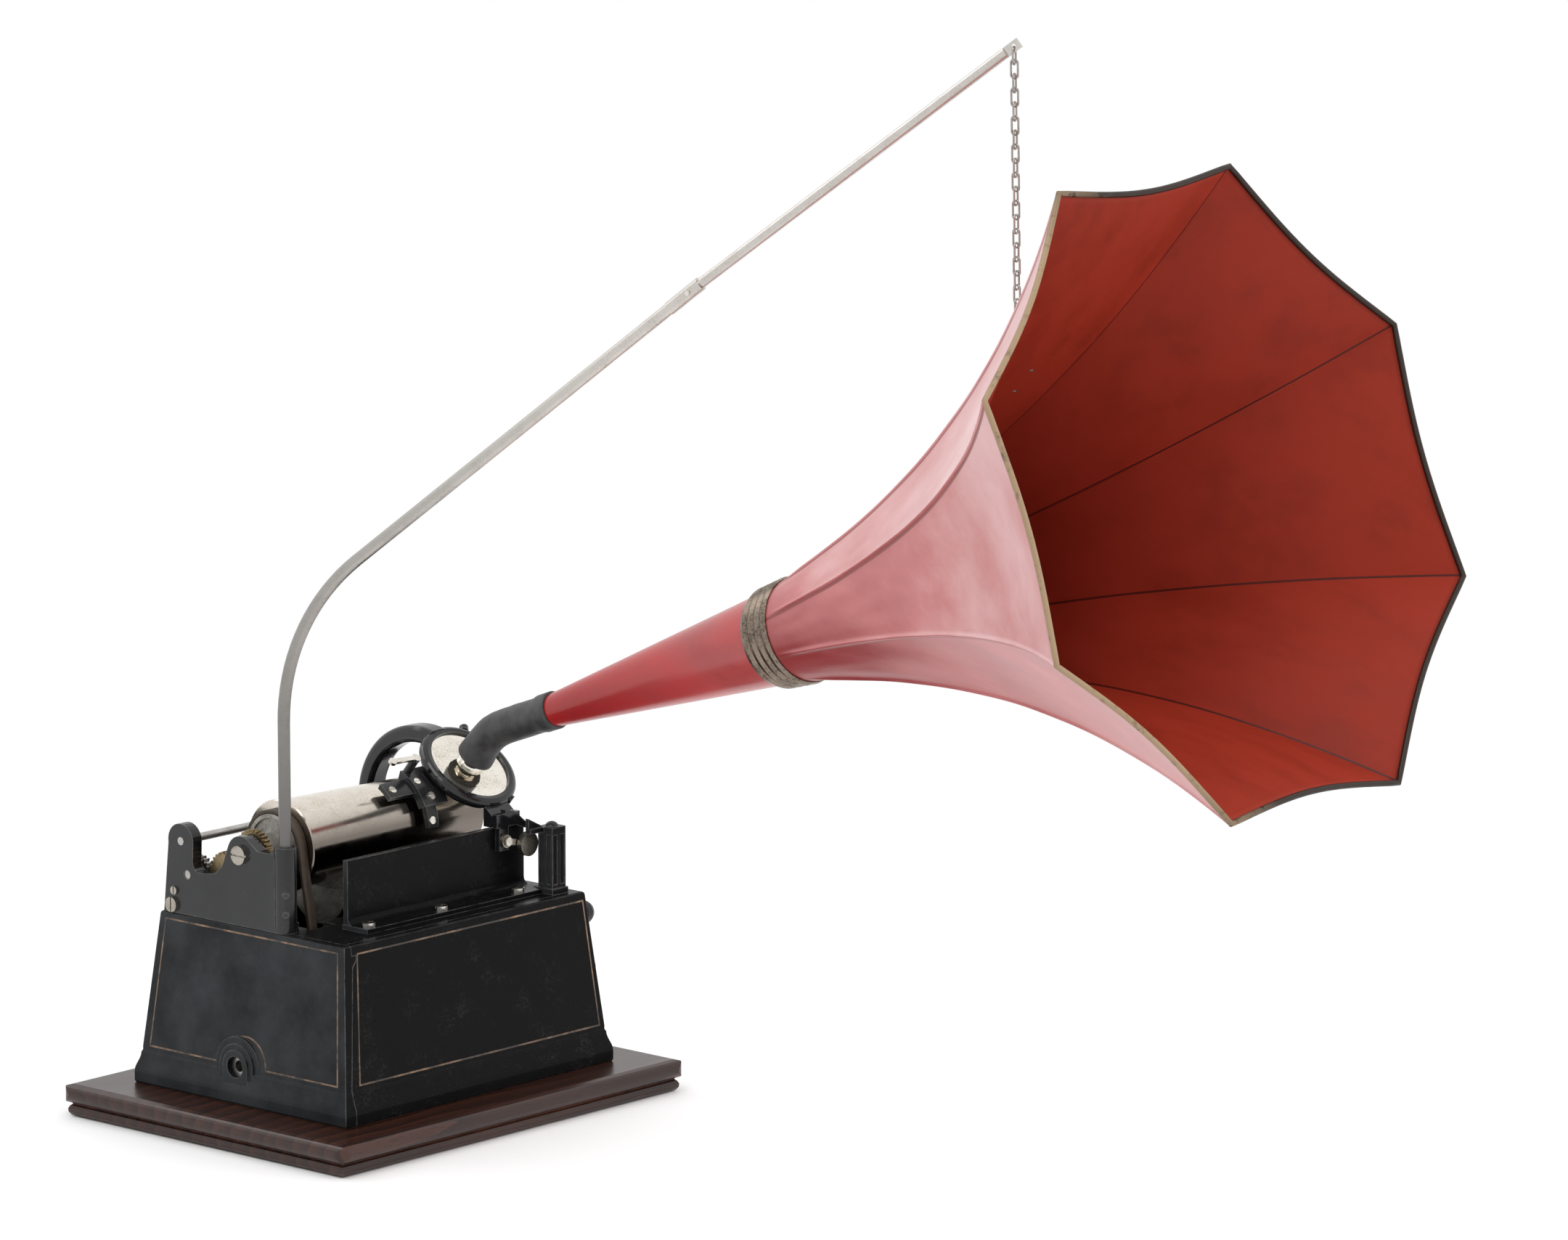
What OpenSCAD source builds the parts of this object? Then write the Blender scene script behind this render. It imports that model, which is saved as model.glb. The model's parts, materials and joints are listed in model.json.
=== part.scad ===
// Cylinder phonograph with a flower horn and a front crane.
// Origin: centre of the underside of the board. +X runs along the mandrel, +Y to the back, +Z up.

/* [Base board] */
// Length of the board, along the mandrel
board_w = 254; // [244:1:280]
// Depth of the board, front to back
board_d = 203; // [196:1:230]
// Thickness of the board
board_t = 17; // [15:0.5:22]
// Radius of the board's corners in plan
board_corner = 7; // [3:0.5:12]

/* [Case] */
// Length of the case at its plinth
case_w = 197; // [193:1:210]
// Depth of the case at its plinth
case_d = 152; // [148:1:165]
// Height of the case from board to deck
case_h = 90; // [88:1:100]
// How far each side leans in from plinth to deck
case_lean = 10.5; // [8:0.5:12]
// Wall of the iron casting
case_wall = 4.5; // [3:0.25:6]
// Thickness of the deck
deck_t = 5; // [4:0.25:7]
// Height of the plinth moulding
plinth_h = 19; // [16:0.5:22]
// Radius of the hole for the crank
crank_hole_r = 5.5; // [5:0.25:7]

/* [Mandrel] */
// Height of the mandrel axis above the deck
mandrel_up = 37; // [36.5:0.25:39]
// Radius of the mandrel at its flange
mandrel_r_big = 23.2; // [22:0.1:23.5]
// Radius of the mandrel at its free end
mandrel_r_small = 20.6; // [19.5:0.1:21.5]
// Length of the mandrel with its flange
mandrel_len = 128; // [120:1:130]
// Radius of the mandrel flange
flange_r = 24; // [23.6:0.1:24.8]
// Wall of the mandrel shell
mandrel_wall = 1.8; // [1.2:0.1:2.5]
// Radius of the fixed arbor that the mandrel turns on
arbor_r = 4; // [3.5:0.25:4.5]
// Radius of the mandrel's belt pulley
mandrel_pulley_r = 17.5; // [16:0.25:18.5]

/* [Carriage] */
// Radius of the back rod
rod_r = 2.1; // [1.8:0.1:2.6]
// Distance of the back rod behind the mandrel axis
rod_back = 43; // [42:0.5:46]
// Radius of the sleeve that slides on the rod
sleeve_r = 5; // [4.6:0.1:5.5]
// Width of the arched arm
arm_w = 14; // [12:0.5:15]
// Thickness of the arched arm
arm_t = 9; // [7:0.25:10]
// Width of the arm's hub on the sleeve
hub_w = 22; // [20:0.5:23]
// Outer radius of the reproducer ring
ring_r = 27; // [26:0.25:28.5]
// Radius of the reproducer body
repro_r = 22.3; // [21:0.1:22.8]
// Lean of the reproducer towards the front, in degrees
ring_tilt = 39; // [37:0.5:41]
// Height of the guide plate above the deck
plate_h = 35.6; // [35:0.1:35.9]
// Thickness of the guide plate
plate_t = 3; // [2.5:0.25:4]

/* [Horn] */
// Length of the horn from its small end to the rim
horn_len = 474; // [460:1:490]
// Radius of the small end
horn_r0 = 8.7; // [8.2:0.1:9.2]
// Radius over the corners of the bell rim
bell_r = 166; // [150:1:175]
// Thickness of the horn sheet
horn_sheet = 0.6; // [0.5:0.05:1]
// Rise of the horn axis, in degrees
horn_rise = 20.5; // [19.5:0.5:21.5]
// How far the rim sinks in between its corners, as a share of the radius
rim_sag = 0.036; // [0:0.002:0.06]

/* [Crane] */
// Radius of the crane rod
crane_r = 3.175; // [2.8:0.025:3.5]
// Radius of the crane socket
socket_r = 5.8; // [5.4:0.1:6.2]
// Height of the straight upright part above the deck
crane_upright = 108; // [104:1:116]
// Radius of the crane's bend
crane_bend_r = 110; // [100:1:120]
// Wire radius of the chain links
link_wire_r = 0.55; // [0.45:0.05:0.65]

/* [Motor] */
// Teeth of the spring barrel
barrel_teeth = 72; // [70:1:74]
// Radius of the barrel drum
drum_r = 25; // [22:0.5:26]
// Radius of the motor's belt pulley
drive_pulley_r = 14; // [13:0.25:15]
// Thickness of the belt
belt_t = 2; // [1.5:0.1:2.4]
// Width of the belt
belt_w = 5.6; // [4.6:0.1:5.8]

/* [Hidden] */

eps = 0.01;
// Radial running clearance of every shaft in its bearing
run = 0.05;
// Gap left between parts that pass each other
gap = 0.3;
round_fn = 48;

deck_z = board_t + case_h;
deck_w = case_w - 2 * case_lean;
deck_d = case_d - 2 * case_lean;

// Left bracket, a plate that stands flush with the left edge of the deck
bracket_t = 6.4;
bracket_x = -deck_w / 2 + 0.5;
bracket_in = bracket_x + bracket_t;

mandrel_y = 8;
mandrel_z = deck_z + mandrel_up;
rod_y = mandrel_y + rod_back;
rod_z = mandrel_z + 1;

// Stations along the mandrel arbor
gear_w = 4;
gear_x = bracket_in + 1.6;
pulley_w = 6;
pulley_x = bracket_in + 16;
flange_x = pulley_x + pulley_w;
flange_w = 4.5;
mandrel_end = flange_x + mandrel_len;
bush_r = arbor_r + 2;

// Gears at the left bracket
feed_module = 0.8;
mandrel_teeth = 28;
idler_teeth = 32;
feed_teeth = 20;
feed_y = rod_y - 4;
feed_z = rod_z - 17;
feed_r = 3;
feed_journal_r = 2.2;
idler_stud_r = 2;

// Reproducer ring: its top face leans to the front at a fixed distance from the mandrel axis
carriage_x = mandrel_end - 12;
ring_up = 36;
ring_t = 6.5;
ring_lip = 1.8;
ring_y = mandrel_y - ring_up * sin(ring_tilt);
ring_z = mandrel_z + ring_up * cos(ring_tilt);

// Arched arm, an arc in the YZ plane behind and over the mandrel
arch_r = 43;
arch_y = mandrel_y + 6;
arch_z = mandrel_z + 2.5;
hub_x = carriage_x - hub_w / 2 - 1;
sleeve_collar = 3;

// Right standard, which carries the rod and the feed screw just beyond the carriage's hub
standard_t = 6;
standard_x = hub_x + hub_w + gap + sleeve_collar + 2.8;

plate_y = -35;
plate_top = deck_z + plate_h;
plate_x0 = flange_x + 1.6;
plate_x1 = carriage_x + 15.1;
foot_w = 17;

// Crane socket at the front of the bracket
socket_x = bracket_x + socket_r;
socket_y = -18;
socket_top = deck_z + 44;
crane_foot_z = deck_z + 6;
crane_turn = 51;
crane_slope = 90 - crane_turn;
crane_joint_reach = 226.5;
crane_tip_reach = 387.7;
crane_upper_r = crane_r - 0.5;
upper_slope = 37.4;

// Horn axis: starts at the small end and rises to the front
horn_y = -71.5;
horn_z = deck_z + 100;
band_start = 0.350 * horn_len;
band_end = 0.391 * horn_len;
band_r0 = 23.9;
panels = 8;
eyelet_share = 0.772;

chain_tip = [carriage_x, socket_y - crane_tip_reach * cos(crane_heading()), crane_tip_z()];

// Motor, all arbors along X, hung between three plates
motor_x0 = flange_x + 7.1;
motor_x = [motor_x0, motor_x0 + 52, motor_x0 + 110];
motor_plate_t = 2;
drive_y = -8;
drive_z = deck_z - 43;
barrel_y = deck_d / 2 - 31.5;
barrel_z = deck_z - 47;
winding_y = 4;
winding_z = board_t + 19;
shaft_r = 2.5;

function sum_sq(a, b) = a * a + b * b;

// Angle of the crane's plane, from straight ahead to the right
function crane_heading() = asin((carriage_x - socket_x) / crane_tip_reach);
function crane_bend_end() = [crane_bend_r * (1 - cos(crane_turn)),
    deck_z + crane_upright + crane_bend_r * sin(crane_turn)];
function crane_joint_z() = crane_bend_end()[1]
    + (crane_joint_reach - crane_bend_end()[0]) * tan(crane_slope);
function crane_tip_z() = crane_joint_z() + (crane_tip_reach - crane_joint_reach) * tan(upper_slope);

// Third corner of a triangle of arbors: the point at distance ra from a and rb from b
function third(a, b, ra, rb, side) =
    let (d = norm(b - a), u = (b - a) / d, along = (sum_sq(ra, 0) - sum_sq(rb, 0) + d * d) / (2 * d))
    a + u * along + [-u[1], u[0]] * side * sqrt(ra * ra - along * along);
function bearing(a, b) = atan2(b[1] - a[1], b[0] - a[0]);

// Involute gear teeth
pressure = 20;
function inv_angle(rb, r) = r <= rb ? 0 : let (c = acos(rb / r)) tan(c) * 180 / PI - c;
function half_tooth(z, m, r, slack) =
    let (rp = z * m / 2, rb = rp * cos(pressure))
    90 / z - slack / rp * 90 / PI + inv_angle(rb, rp) - inv_angle(rb, r);
function gear_radii(z, m) = z > 30 ? [z * m / 2 - m, z * m / 2, z * m / 2 + 0.75 * m]
    : [z * m / 2 - m, z * m / 2 * cos(pressure), z * m / 2, z * m / 2 + 0.75 * m];
function gear_outline(z, m, turn, slack = 0.12) =
    let (radii = gear_radii(z, m), n = len(radii))
    [for (k = [0:z - 1]) for (i = [0:2 * n - 1])
        let (r = radii[i < n ? i : 2 * n - 1 - i], side = i < n ? -1 : 1,
            a = turn + 360 / z * k + side * half_tooth(z, m, r, slack))
        [r * cos(a), r * sin(a)]];
// Turn of a gear that meshes with another, where bearing is the direction to the second gear
function mesh_turn(bearing, turn, z1, z2) = bearing + 180 - (turn - bearing) * z1 / z2 - 180 / z2;

module along_x(x, y, z) {
    translate([x, y, z]) rotate([90, 0, 90]) children();
}
module rod_x(x, length, y, z, r) {
    along_x(x, y, z) cylinder(r = r, h = length, $fn = round_fn);
}
module gear_x(x, w, c, z, m, turn, bore) {
    difference() {
        along_x(x, c[0], c[1]) linear_extrude(w) polygon(gear_outline(z, m, turn));
        rod_x(x - 1, w + 2, c[0], c[1], bore);
    }
}
module screw_z(x, y, z, head_r, head_h, r, length) {
    translate([x, y, z]) difference() {
        union() {
            cylinder(r = head_r, h = head_h, $fn = 32);
            translate([0, 0, -length]) cylinder(r = r, h = length + eps, $fn = 32);
        }
        translate([-head_r - 1, -0.4, head_h * 0.55]) cube([2 * head_r + 2, 0.8, head_h]);
    }
}

// Half outlines of mouldings, as [inset, height] pairs, mirrored to a closed outline
function closed_outline(half, steps) = concat(
    [for (p = steps) [half - p[0], p[1]]],
    [for (i = [len(steps) - 1:-1:0]) [-half + steps[i][0], steps[i][1]]]);
module moulded_block(w, d, steps) {
    intersection() {
        rotate([90, 0, 0]) linear_extrude(d + 2, center = true) polygon(closed_outline(w / 2, steps));
        rotate([90, 0, 90]) linear_extrude(w + 2, center = true) polygon(closed_outline(d / 2, steps));
    }
}
module rounded_plan(w, d, r, h) {
    for (sx = [-1, 1]) for (sy = [-1, 1])
        translate([sx * (w / 2 - r), sy * (d / 2 - r), 0]) cylinder(r = r, h = h, $fn = 32);
    translate([-w / 2 + r, -d / 2, 0]) cube([w - 2 * r, d, h]);
    translate([-w / 2, -d / 2 + r, 0]) cube([w, d - 2 * r, h]);
}

// Board edge: a lower bead set in, a groove, and a bold upper bead
bead_r = (board_t - 7) / 2;
board_steps = concat(
    [[7, 0], [4.2, 0.6], [3, 2.2], [2.8, 4], [3.6, 5.6], [4.6, 6.4], [4.4, 7]],
    [for (a = [-75:15:60]) [bead_r * (1 - cos(a)), 7 + bead_r * (1 + sin(a))]],
    [[bead_r, board_t]]);
board_screw_x = case_w / 2 - 14;
board_screw_y = case_d / 2 - 14;
board_screw_r = 1.7;

module at_board_screws() {
    for (sx = [-1, 1]) for (sy = [-1, 1]) translate([sx * board_screw_x, sy * board_screw_y, 0]) children();
}
module base_board() {
    color([0.30, 0.12, 0.08]) difference() {
        intersection() {
            moulded_block(board_w, board_d, board_steps);
            translate([0, 0, -1]) rounded_plan(board_w, board_d, board_corner, board_t + 2);
        }
        at_board_screws() {
            translate([0, 0, -1]) cylinder(r = board_screw_r, h = board_t + 2, $fn = 32);
            translate([0, 0, -1]) cylinder(r = 4, h = 4, $fn = 32);
        }
    }
}
module board_screws() {
    color([0.55, 0.5, 0.42]) at_board_screws() translate([0, 0, 0.6]) difference() {
        union() {
            cylinder(r = 3.7, h = 2.4, $fn = 32);
            cylinder(r = board_screw_r, h = board_t + 8, $fn = 32);
        }
        translate([-5, -0.5, -1]) cube([10, 1, 1.8]);
    }
}

// Case: ogee plinth, then sides that lean in to the deck
ogee_top = 3.2;
case_steps = concat(
    [[0.6, 0], [0, 1], [0, plinth_h * 0.3]],
    [for (k = [1:6]) [ogee_top * 0.8 * (1 - cos(30 * k)) / 2, plinth_h * (0.3 + 0.09 * k)]],
    [[ogee_top, plinth_h * 0.9], [ogee_top, plinth_h],
     [case_lean - 0.3, case_h - 1.5], [case_lean, case_h - 0.5], [case_lean + 0.8, case_h]]);
// The case is a ring of four walls; the bedplate rests on a ledge, flush with the top edge
ledge = 3;
cavity_steps = [[case_wall + ogee_top, -1], [case_wall + ogee_top, plinth_h],
    [case_lean + case_wall, case_h - deck_t - 2 * ledge],
    [case_lean + case_wall + ledge, case_h - deck_t - 2.5],
    [case_lean + case_wall + ledge, case_h - deck_t],
    [case_lean + case_wall, case_h - deck_t], [case_lean + case_wall, case_h + 1]];
bed_w = deck_w - 2 * case_wall;
bed_d = deck_d - 2 * case_wall;
slot_x0 = pulley_x - 4;
slot_x1 = flange_x + 7;
slot_y0 = -24;
slot_y1 = 28;
tray_y = mandrel_y - 2;
tray_r = 19.5;
tray_z = mandrel_z - 24.5;
tray_x0 = slot_x1 + 18;
tray_x1 = mandrel_end - 13;
lug_r = 7.5;
stop_y = -deck_d / 2 + 7;
stop_z = deck_z - 13;
speed_y = -deck_d / 2 + 3.5;
speed_z = deck_z - 41;
boss_out = case_w / 2 - 0.5;
// The crank boss: three arches, one inside the other, each lower than the last
boss_steps = [[15.5, 2.6], [12, 1.6], [8.8, 0.6]];
boss_foot = board_t + plinth_h * 0.4;

// An arch standing on the plinth, as a slab along X from x for depth t
module arch_slab(x, t, r) {
    rod_x(x, t, winding_y, winding_z, r);
    translate([x, winding_y - r, boss_foot]) cube([t, 2 * r, winding_z - boss_foot]);
}
module case_casting() {
    difference() {
        union() {
            difference() {
                union() {
                    translate([0, 0, board_t]) moulded_block(case_w, case_d, case_steps);
                    for (b = boss_steps) arch_slab(-boss_out + b[1], 20, b[0]);
                    rod_x(deck_w / 2 - 10, 10 + 3.2, stop_y, stop_z, 5.5);
                    rod_x(deck_w / 2 - 8, 8 + 5.5, speed_y, speed_z, 4.5);
                }
                translate([0, 0, board_t]) moulded_block(case_w, case_d, cavity_steps);
            }
            at_board_screws() translate([0, 0, board_t]) cylinder(r = lug_r, h = 16, $fn = 32);
            rod_x(-boss_out + 2.6, case_wall + 5, winding_y, winding_z, crank_hole_r + 3);
            rod_x(deck_w / 2 - 10, 10, stop_y, stop_z, 5.5);
            rod_x(deck_w / 2 - 10, 12, speed_y, speed_z, 4.5);
        }
        rod_x(-case_w / 2 - 5, 40, winding_y, winding_z, crank_hole_r);
        rod_x(deck_w / 2 - 20, 50, stop_y, stop_z, stop_shaft_r + run);
        rod_x(deck_w / 2 - 20, 50, speed_y, speed_z, speed_r + run);
        at_board_screws() translate([0, 0, board_t - 1]) cylinder(r = board_screw_r, h = 13, $fn = 32);
    }
}
// The left wall with its crank boss is a piece of its own, parted from the rest along its inner face
module left_wall_room() {
    translate([0, 0, board_t]) rotate([90, 0, 0]) linear_extrude(case_d + 4, center = true)
        polygon(concat([[-case_w, -2]], [for (p = cavity_steps) [-case_w / 2 + p[0], p[1]]],
            [[-case_w, case_h + 1]]));
    rod_x(-boss_out, 40, winding_y, winding_z, crank_hole_r + 5);
}
module case_shell() {
    color([0.07, 0.07, 0.075]) difference() {
        case_casting();
        left_wall_room();
    }
}
module case_left_wall() {
    color([0.07, 0.07, 0.075]) intersection() {
        case_casting();
        left_wall_room();
    }
}
module bedplate() {
    color([0.07, 0.07, 0.075]) difference() {
        translate([-bed_w / 2, -bed_d / 2, deck_z - deck_t]) cube([bed_w, bed_d, deck_t]);
        translate([slot_x0, slot_y0, deck_z - deck_t - 1])
            cube([slot_x1 - slot_x0, slot_y1 - slot_y0, deck_t + 2]);
        translate([slot_x1 - 1, tray_y - tray_r - 1.5, deck_z - deck_t - 1])
            cube([tray_x1 + 4 - slot_x1, 2 * tray_r + 3, deck_t + 2]);
        at_plate_screws() translate([0, 0, -3.4]) cylinder(r = plate_screw_r, h = 6, $fn = 32);
        at_standard_screws() translate([0, 0, -3.4]) cylinder(r = plate_screw_r, h = 6, $fn = 32);
        at_bracket_screws() translate([0, 0, -3.4]) cylinder(r = plate_screw_r, h = 6, $fn = 32);
        translate([post_x, post_y, deck_z - 3.4]) cylinder(r = plate_screw_r, h = 6, $fn = 32);
    }
}

// Left bracket outline, with a round ear for the rod and a hump for the arbor
ear_r = 9;
hump_r = 9.6;
bracket_foot_w = 15;
function arc(c, r, a0, a1, n) = [for (i = [0:n]) let (a = a0 + (a1 - a0) * i / n)
    [c[0] + r * cos(a), c[1] + r * sin(a)]];
bracket_outline = concat(
    [[socket_y + 2, deck_z], [deck_d / 2 - 1.5, deck_z]],
    arc([rod_y + 0.4, rod_z], ear_r, -10, 190, 14),
    arc([rod_y - ear_r - 4.2, rod_z - 10], 5, 0, -80, 4),
    [[mandrel_y + 19, mandrel_z - 12.5], [mandrel_y + 13.5, mandrel_z - 8]],
    arc([mandrel_y, mandrel_z], hump_r, 20, 130, 8),
    [[mandrel_y - 12, mandrel_z + 3.5], [socket_y + 2, mandrel_z + 3.5]]);
module at_bracket_screws() {
    for (y = [deck_d / 2 - 24, deck_d / 2 - 10]) translate([bracket_x + 10.5, y, deck_z]) children();
}
module left_bracket() {
    color([0.075, 0.075, 0.08]) difference() {
        union() {
            along_x(bracket_x, 0, 0) linear_extrude(bracket_t) polygon(bracket_outline);
            translate([socket_x, socket_y, deck_z]) cylinder(r = socket_r, h = socket_top - deck_z,
                $fn = round_fn);
            translate([bracket_x, deck_d / 2 - 30, deck_z]) cube([bracket_foot_w, 27, 3.5]);
            translate([bracket_x, socket_y, deck_z]) cube([bracket_foot_w, 10, 3.5]);
        }
        rod_x(bracket_x - 1, bracket_t + 2, rod_y, rod_z, rod_r);
        rod_x(bracket_x - 1, bracket_t + 2, mandrel_y, mandrel_z, arbor_r);
        rod_x(bracket_x - 1, bracket_t + 2, feed_y, feed_z, feed_journal_r + run);
        rod_x(bracket_in - 4, 5, idler_c[0], idler_c[1], idler_stud_r);
        translate([socket_x, socket_y, crane_foot_z])
            cylinder(r = crane_r + run, h = 60, $fn = round_fn);
        for (z = set_screw_z) translate([socket_x, socket_y, z]) rotate([0, 90, set_screw_turn])
            cylinder(r = 1.5, h = 20, $fn = 32);
        at_bracket_screws() translate([0, 0, -1]) cylinder(r = plate_screw_r, h = 8, $fn = 32);
        rod_x(bracket_x - 1, 5, deck_d / 2 - 9.5, deck_z + 11.7, 1.4);
        rod_x(bracket_x - 1, 5, deck_d / 2 - 8, deck_z + 4.2, 1.4);
    }
}
module bracket_screws() {
    color([0.75, 0.73, 0.68]) {
        at_bracket_screws() screw_z(0, 0, 3.5, 3.6, 2, plate_screw_r, 6.5);
        translate([bracket_x, deck_d / 2 - 9.5, deck_z + 11.7]) rotate([0, -90, 0])
            screw_z(0, 0, 0, 2.2, 1.2, 1.4, 3.5);
        translate([bracket_x, deck_d / 2 - 8, deck_z + 4.2]) rotate([0, -90, 0])
            screw_z(0, 0, 0, 3.9, 1.8, 1.4, 3.5);
    }
}
set_screw_z = [deck_z + 10, deck_z + 20];
set_screw_turn = -135;
module crane_set_screws() {
    color([0.8, 0.8, 0.78]) for (z = set_screw_z) translate([socket_x, socket_y, z])
        rotate([0, 90, set_screw_turn]) translate([0, 0, crane_r + run])
        difference() {
            cylinder(r = 1.5, h = 3.6, $fn = 32);
            translate([-2, -0.3, 2.8]) cube([4, 0.6, 2]);
        }
}

// Right standard: an upright with two ears, for the rod and for the feed screw
module at_standard_screws() {
    for (y = [feed_y - 7, feed_y + 9]) translate([standard_x - 5.5, y, deck_z]) children();
}
module right_standard() {
    color([0.075, 0.075, 0.08]) difference() {
        union() {
            along_x(standard_x, 0, 0) linear_extrude(standard_t) polygon(concat(
                [[feed_y - 12, deck_z], [feed_y + 14, deck_z]],
                arc([rod_y, rod_z], 7.5, 0, 180, 10),
                [[feed_y - 7, feed_z + 4], [feed_y - 8, feed_z - 6]]));
            translate([standard_x - 10, feed_y - 12, deck_z]) cube([16, 26, 3.5]);
        }
        rod_x(standard_x - 1, standard_t + 2, rod_y, rod_z, rod_r);
        rod_x(standard_x - 1, standard_t + 2, feed_y, feed_z, feed_journal_r + run);
        at_standard_screws() translate([0, 0, -1]) cylinder(r = plate_screw_r, h = 8, $fn = 32);
    }
}
module standard_screws() {
    color([0.75, 0.73, 0.68]) at_standard_screws() screw_z(0, 0, 3.5, 3.6, 2, plate_screw_r, 6.5);
}
module back_rod() {
    color([0.6, 0.6, 0.6]) rod_x(bracket_x - 0.4, standard_x + standard_t + 0.8 - bracket_x,
        rod_y, rod_z, rod_r);
}

// Guide plate at the front; the carriage foot runs on its top edge
plate_flange_d = 15;
plate_flange_t = 2.5;
plate_screw_r = 1.6;
plate_screw_xs = [plate_x0 + 6, (plate_x0 + plate_x1) / 2 - 6, plate_x1 - 14];
module at_plate_screws() {
    for (x = plate_screw_xs) translate([x, plate_y - plate_t - 8.5, deck_z]) children();
}
module front_plate() {
    color([0.07, 0.07, 0.075]) difference() {
        union() {
            translate([0, plate_y, 0]) rotate([90, 0, 0]) linear_extrude(plate_t) polygon(concat(
                [[plate_x0, plate_top], [plate_x0, deck_z], [plate_x1 + 5, deck_z]],
                arc([plate_x1 + 5, deck_z + 7], 5, 270, 180, 5), [[plate_x1, plate_top]]));
            translate([plate_x0 - 1, plate_y - plate_t - plate_flange_d, deck_z])
                cube([plate_x1 + 4 - plate_x0, plate_flange_d + plate_t, plate_flange_t]);
            along_x(plate_x0, plate_y - plate_t, deck_z + plate_flange_t) linear_extrude(plate_x1 - plate_x0)
                polygon(concat([[eps, -eps], [eps, 3]], arc([-3, 3], 3, 0, -90, 4)));
        }
        at_plate_screws() translate([0, 0, -1]) cylinder(r = plate_screw_r, h = 8, $fn = 32);
        translate([post_x - post_w / 2 - post_lip - gap, post_y - 8, deck_z - 1]) cube([20, 16 + gap, 6]);
    }
}
module plate_screws() {
    color([0.75, 0.73, 0.68]) at_plate_screws()
        screw_z(0, 0, plate_flange_t, 3.8, 1.8, plate_screw_r, plate_flange_t + 3);
}

// End post at the right: two channels down its body and a rest arm at the top
post_x = carriage_x + 19.1;
post_y = -54.2;
post_w = 10;
post_lip = 0.9;
post_h = plate_h - 0.6;
// The post stands in front of the lifted lever's way, and its rest arm is set back from its rear face
rest_set = 0.7;
post_cap_r = 4;
module end_post() {
    color([0.06, 0.06, 0.065]) difference() {
        union() {
            translate([post_x - post_w / 2, post_y - post_w / 2, deck_z]) cube([post_w, post_w, post_h]);
            translate([post_x - post_w / 2 - post_lip, post_y - post_w / 2 - post_lip, deck_z])
                cube([post_w + 2 * post_lip, post_w + 2 * post_lip, 3]);
            translate([0, post_y + post_w / 2 - rest_set, deck_z + post_h]) rotate([90, 0, 0])
                linear_extrude(3.4) polygon([[post_x, 0], [post_x - 15, 0], [post_x - 15, -2.6],
                    [post_x, -2.6]]);
            translate([0, post_y + post_w / 2 - rest_set, deck_z + post_h]) rotate([90, 0, 0])
                linear_extrude(2) polygon([[post_x - post_cap_r - 0.2, -eps], [post_x - 15, -eps],
                    [post_x - 15, 5.5]]);
        }
        for (x = [post_x - 2.6, post_x + 2.6]) translate([x, post_y - post_w / 2 - 0.6, deck_z + 5])
            cylinder(r = 1.7, h = post_h - 9, $fn = 24);
        for (y = [post_y - 2.4, post_y + 2.6]) translate([post_x - post_w / 2 - 0.6, y, deck_z + 5])
            cylinder(r = 1.5, h = post_h - 9, $fn = 24);
        translate([post_x, post_y, deck_z - 1]) cylinder(r = plate_screw_r, h = post_h + 2, $fn = 32);
    }
}
module end_post_screw() {
    color([0.06, 0.06, 0.065]) translate([post_x, post_y, deck_z]) {
        translate([0, 0, -3.4]) cylinder(r = plate_screw_r, h = post_h + 4, $fn = 32);
        translate([0, 0, post_h]) intersection() {
            translate([0, 0, -1.5]) sphere(r = post_cap_r, $fn = round_fn);
            cylinder(r = post_cap_r, h = 4, $fn = 32);
        }
    }
}

// Tray that catches shavings under the mandrel, a trough with round bottom and closed ends
module chip_tray() {
    color([0.52, 0.51, 0.49]) difference() {
        union() {
            difference() {
                rod_x(tray_x0, tray_x1 - tray_x0, tray_y, tray_z, tray_r);
                rod_x(tray_x0 + 1, tray_x1 - tray_x0 - 2, tray_y, tray_z, tray_r - 1);
            }
            difference() {
                translate([tray_x0 + 4, tray_y - tray_r - 4, deck_z])
                    cube([tray_x1 - tray_x0 - 8, 2 * tray_r + 8, 1]);
                rod_x(tray_x0, tray_x1 - tray_x0, tray_y, tray_z, tray_r - 0.5);
            }
        }
        translate([tray_x0 - 5, tray_y - 40, tray_z]) cube([tray_x1 - tray_x0 + 10, 80, 60]);
    }
}

// Fixed arbor with a slotted head outside the bracket
module mandrel_arbor() {
    color([0.78, 0.72, 0.58]) difference() {
        union() {
            rod_x(bracket_x - eps, mandrel_end - 1.5 - bracket_x, mandrel_y, mandrel_z, arbor_r);
            rod_x(bracket_x - 2.4, 2.4, mandrel_y, mandrel_z, 4.9);
        }
        translate([bracket_x - 3.4, mandrel_y - 6, mandrel_z - 0.6]) cube([2, 12, 1.2]);
    }
}
module arbor_end_nut() {
    color([0.75, 0.73, 0.68]) difference() {
        union() {
            along_x(mandrel_end - 6.5, mandrel_y, mandrel_z) cylinder(r = 7, h = 4, $fn = 6);
            rod_x(mandrel_end - 7.5, 1, mandrel_y, mandrel_z, 8);
        }
        rod_x(mandrel_end - 8, 10, mandrel_y, mandrel_z, arbor_r);
    }
}

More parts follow.
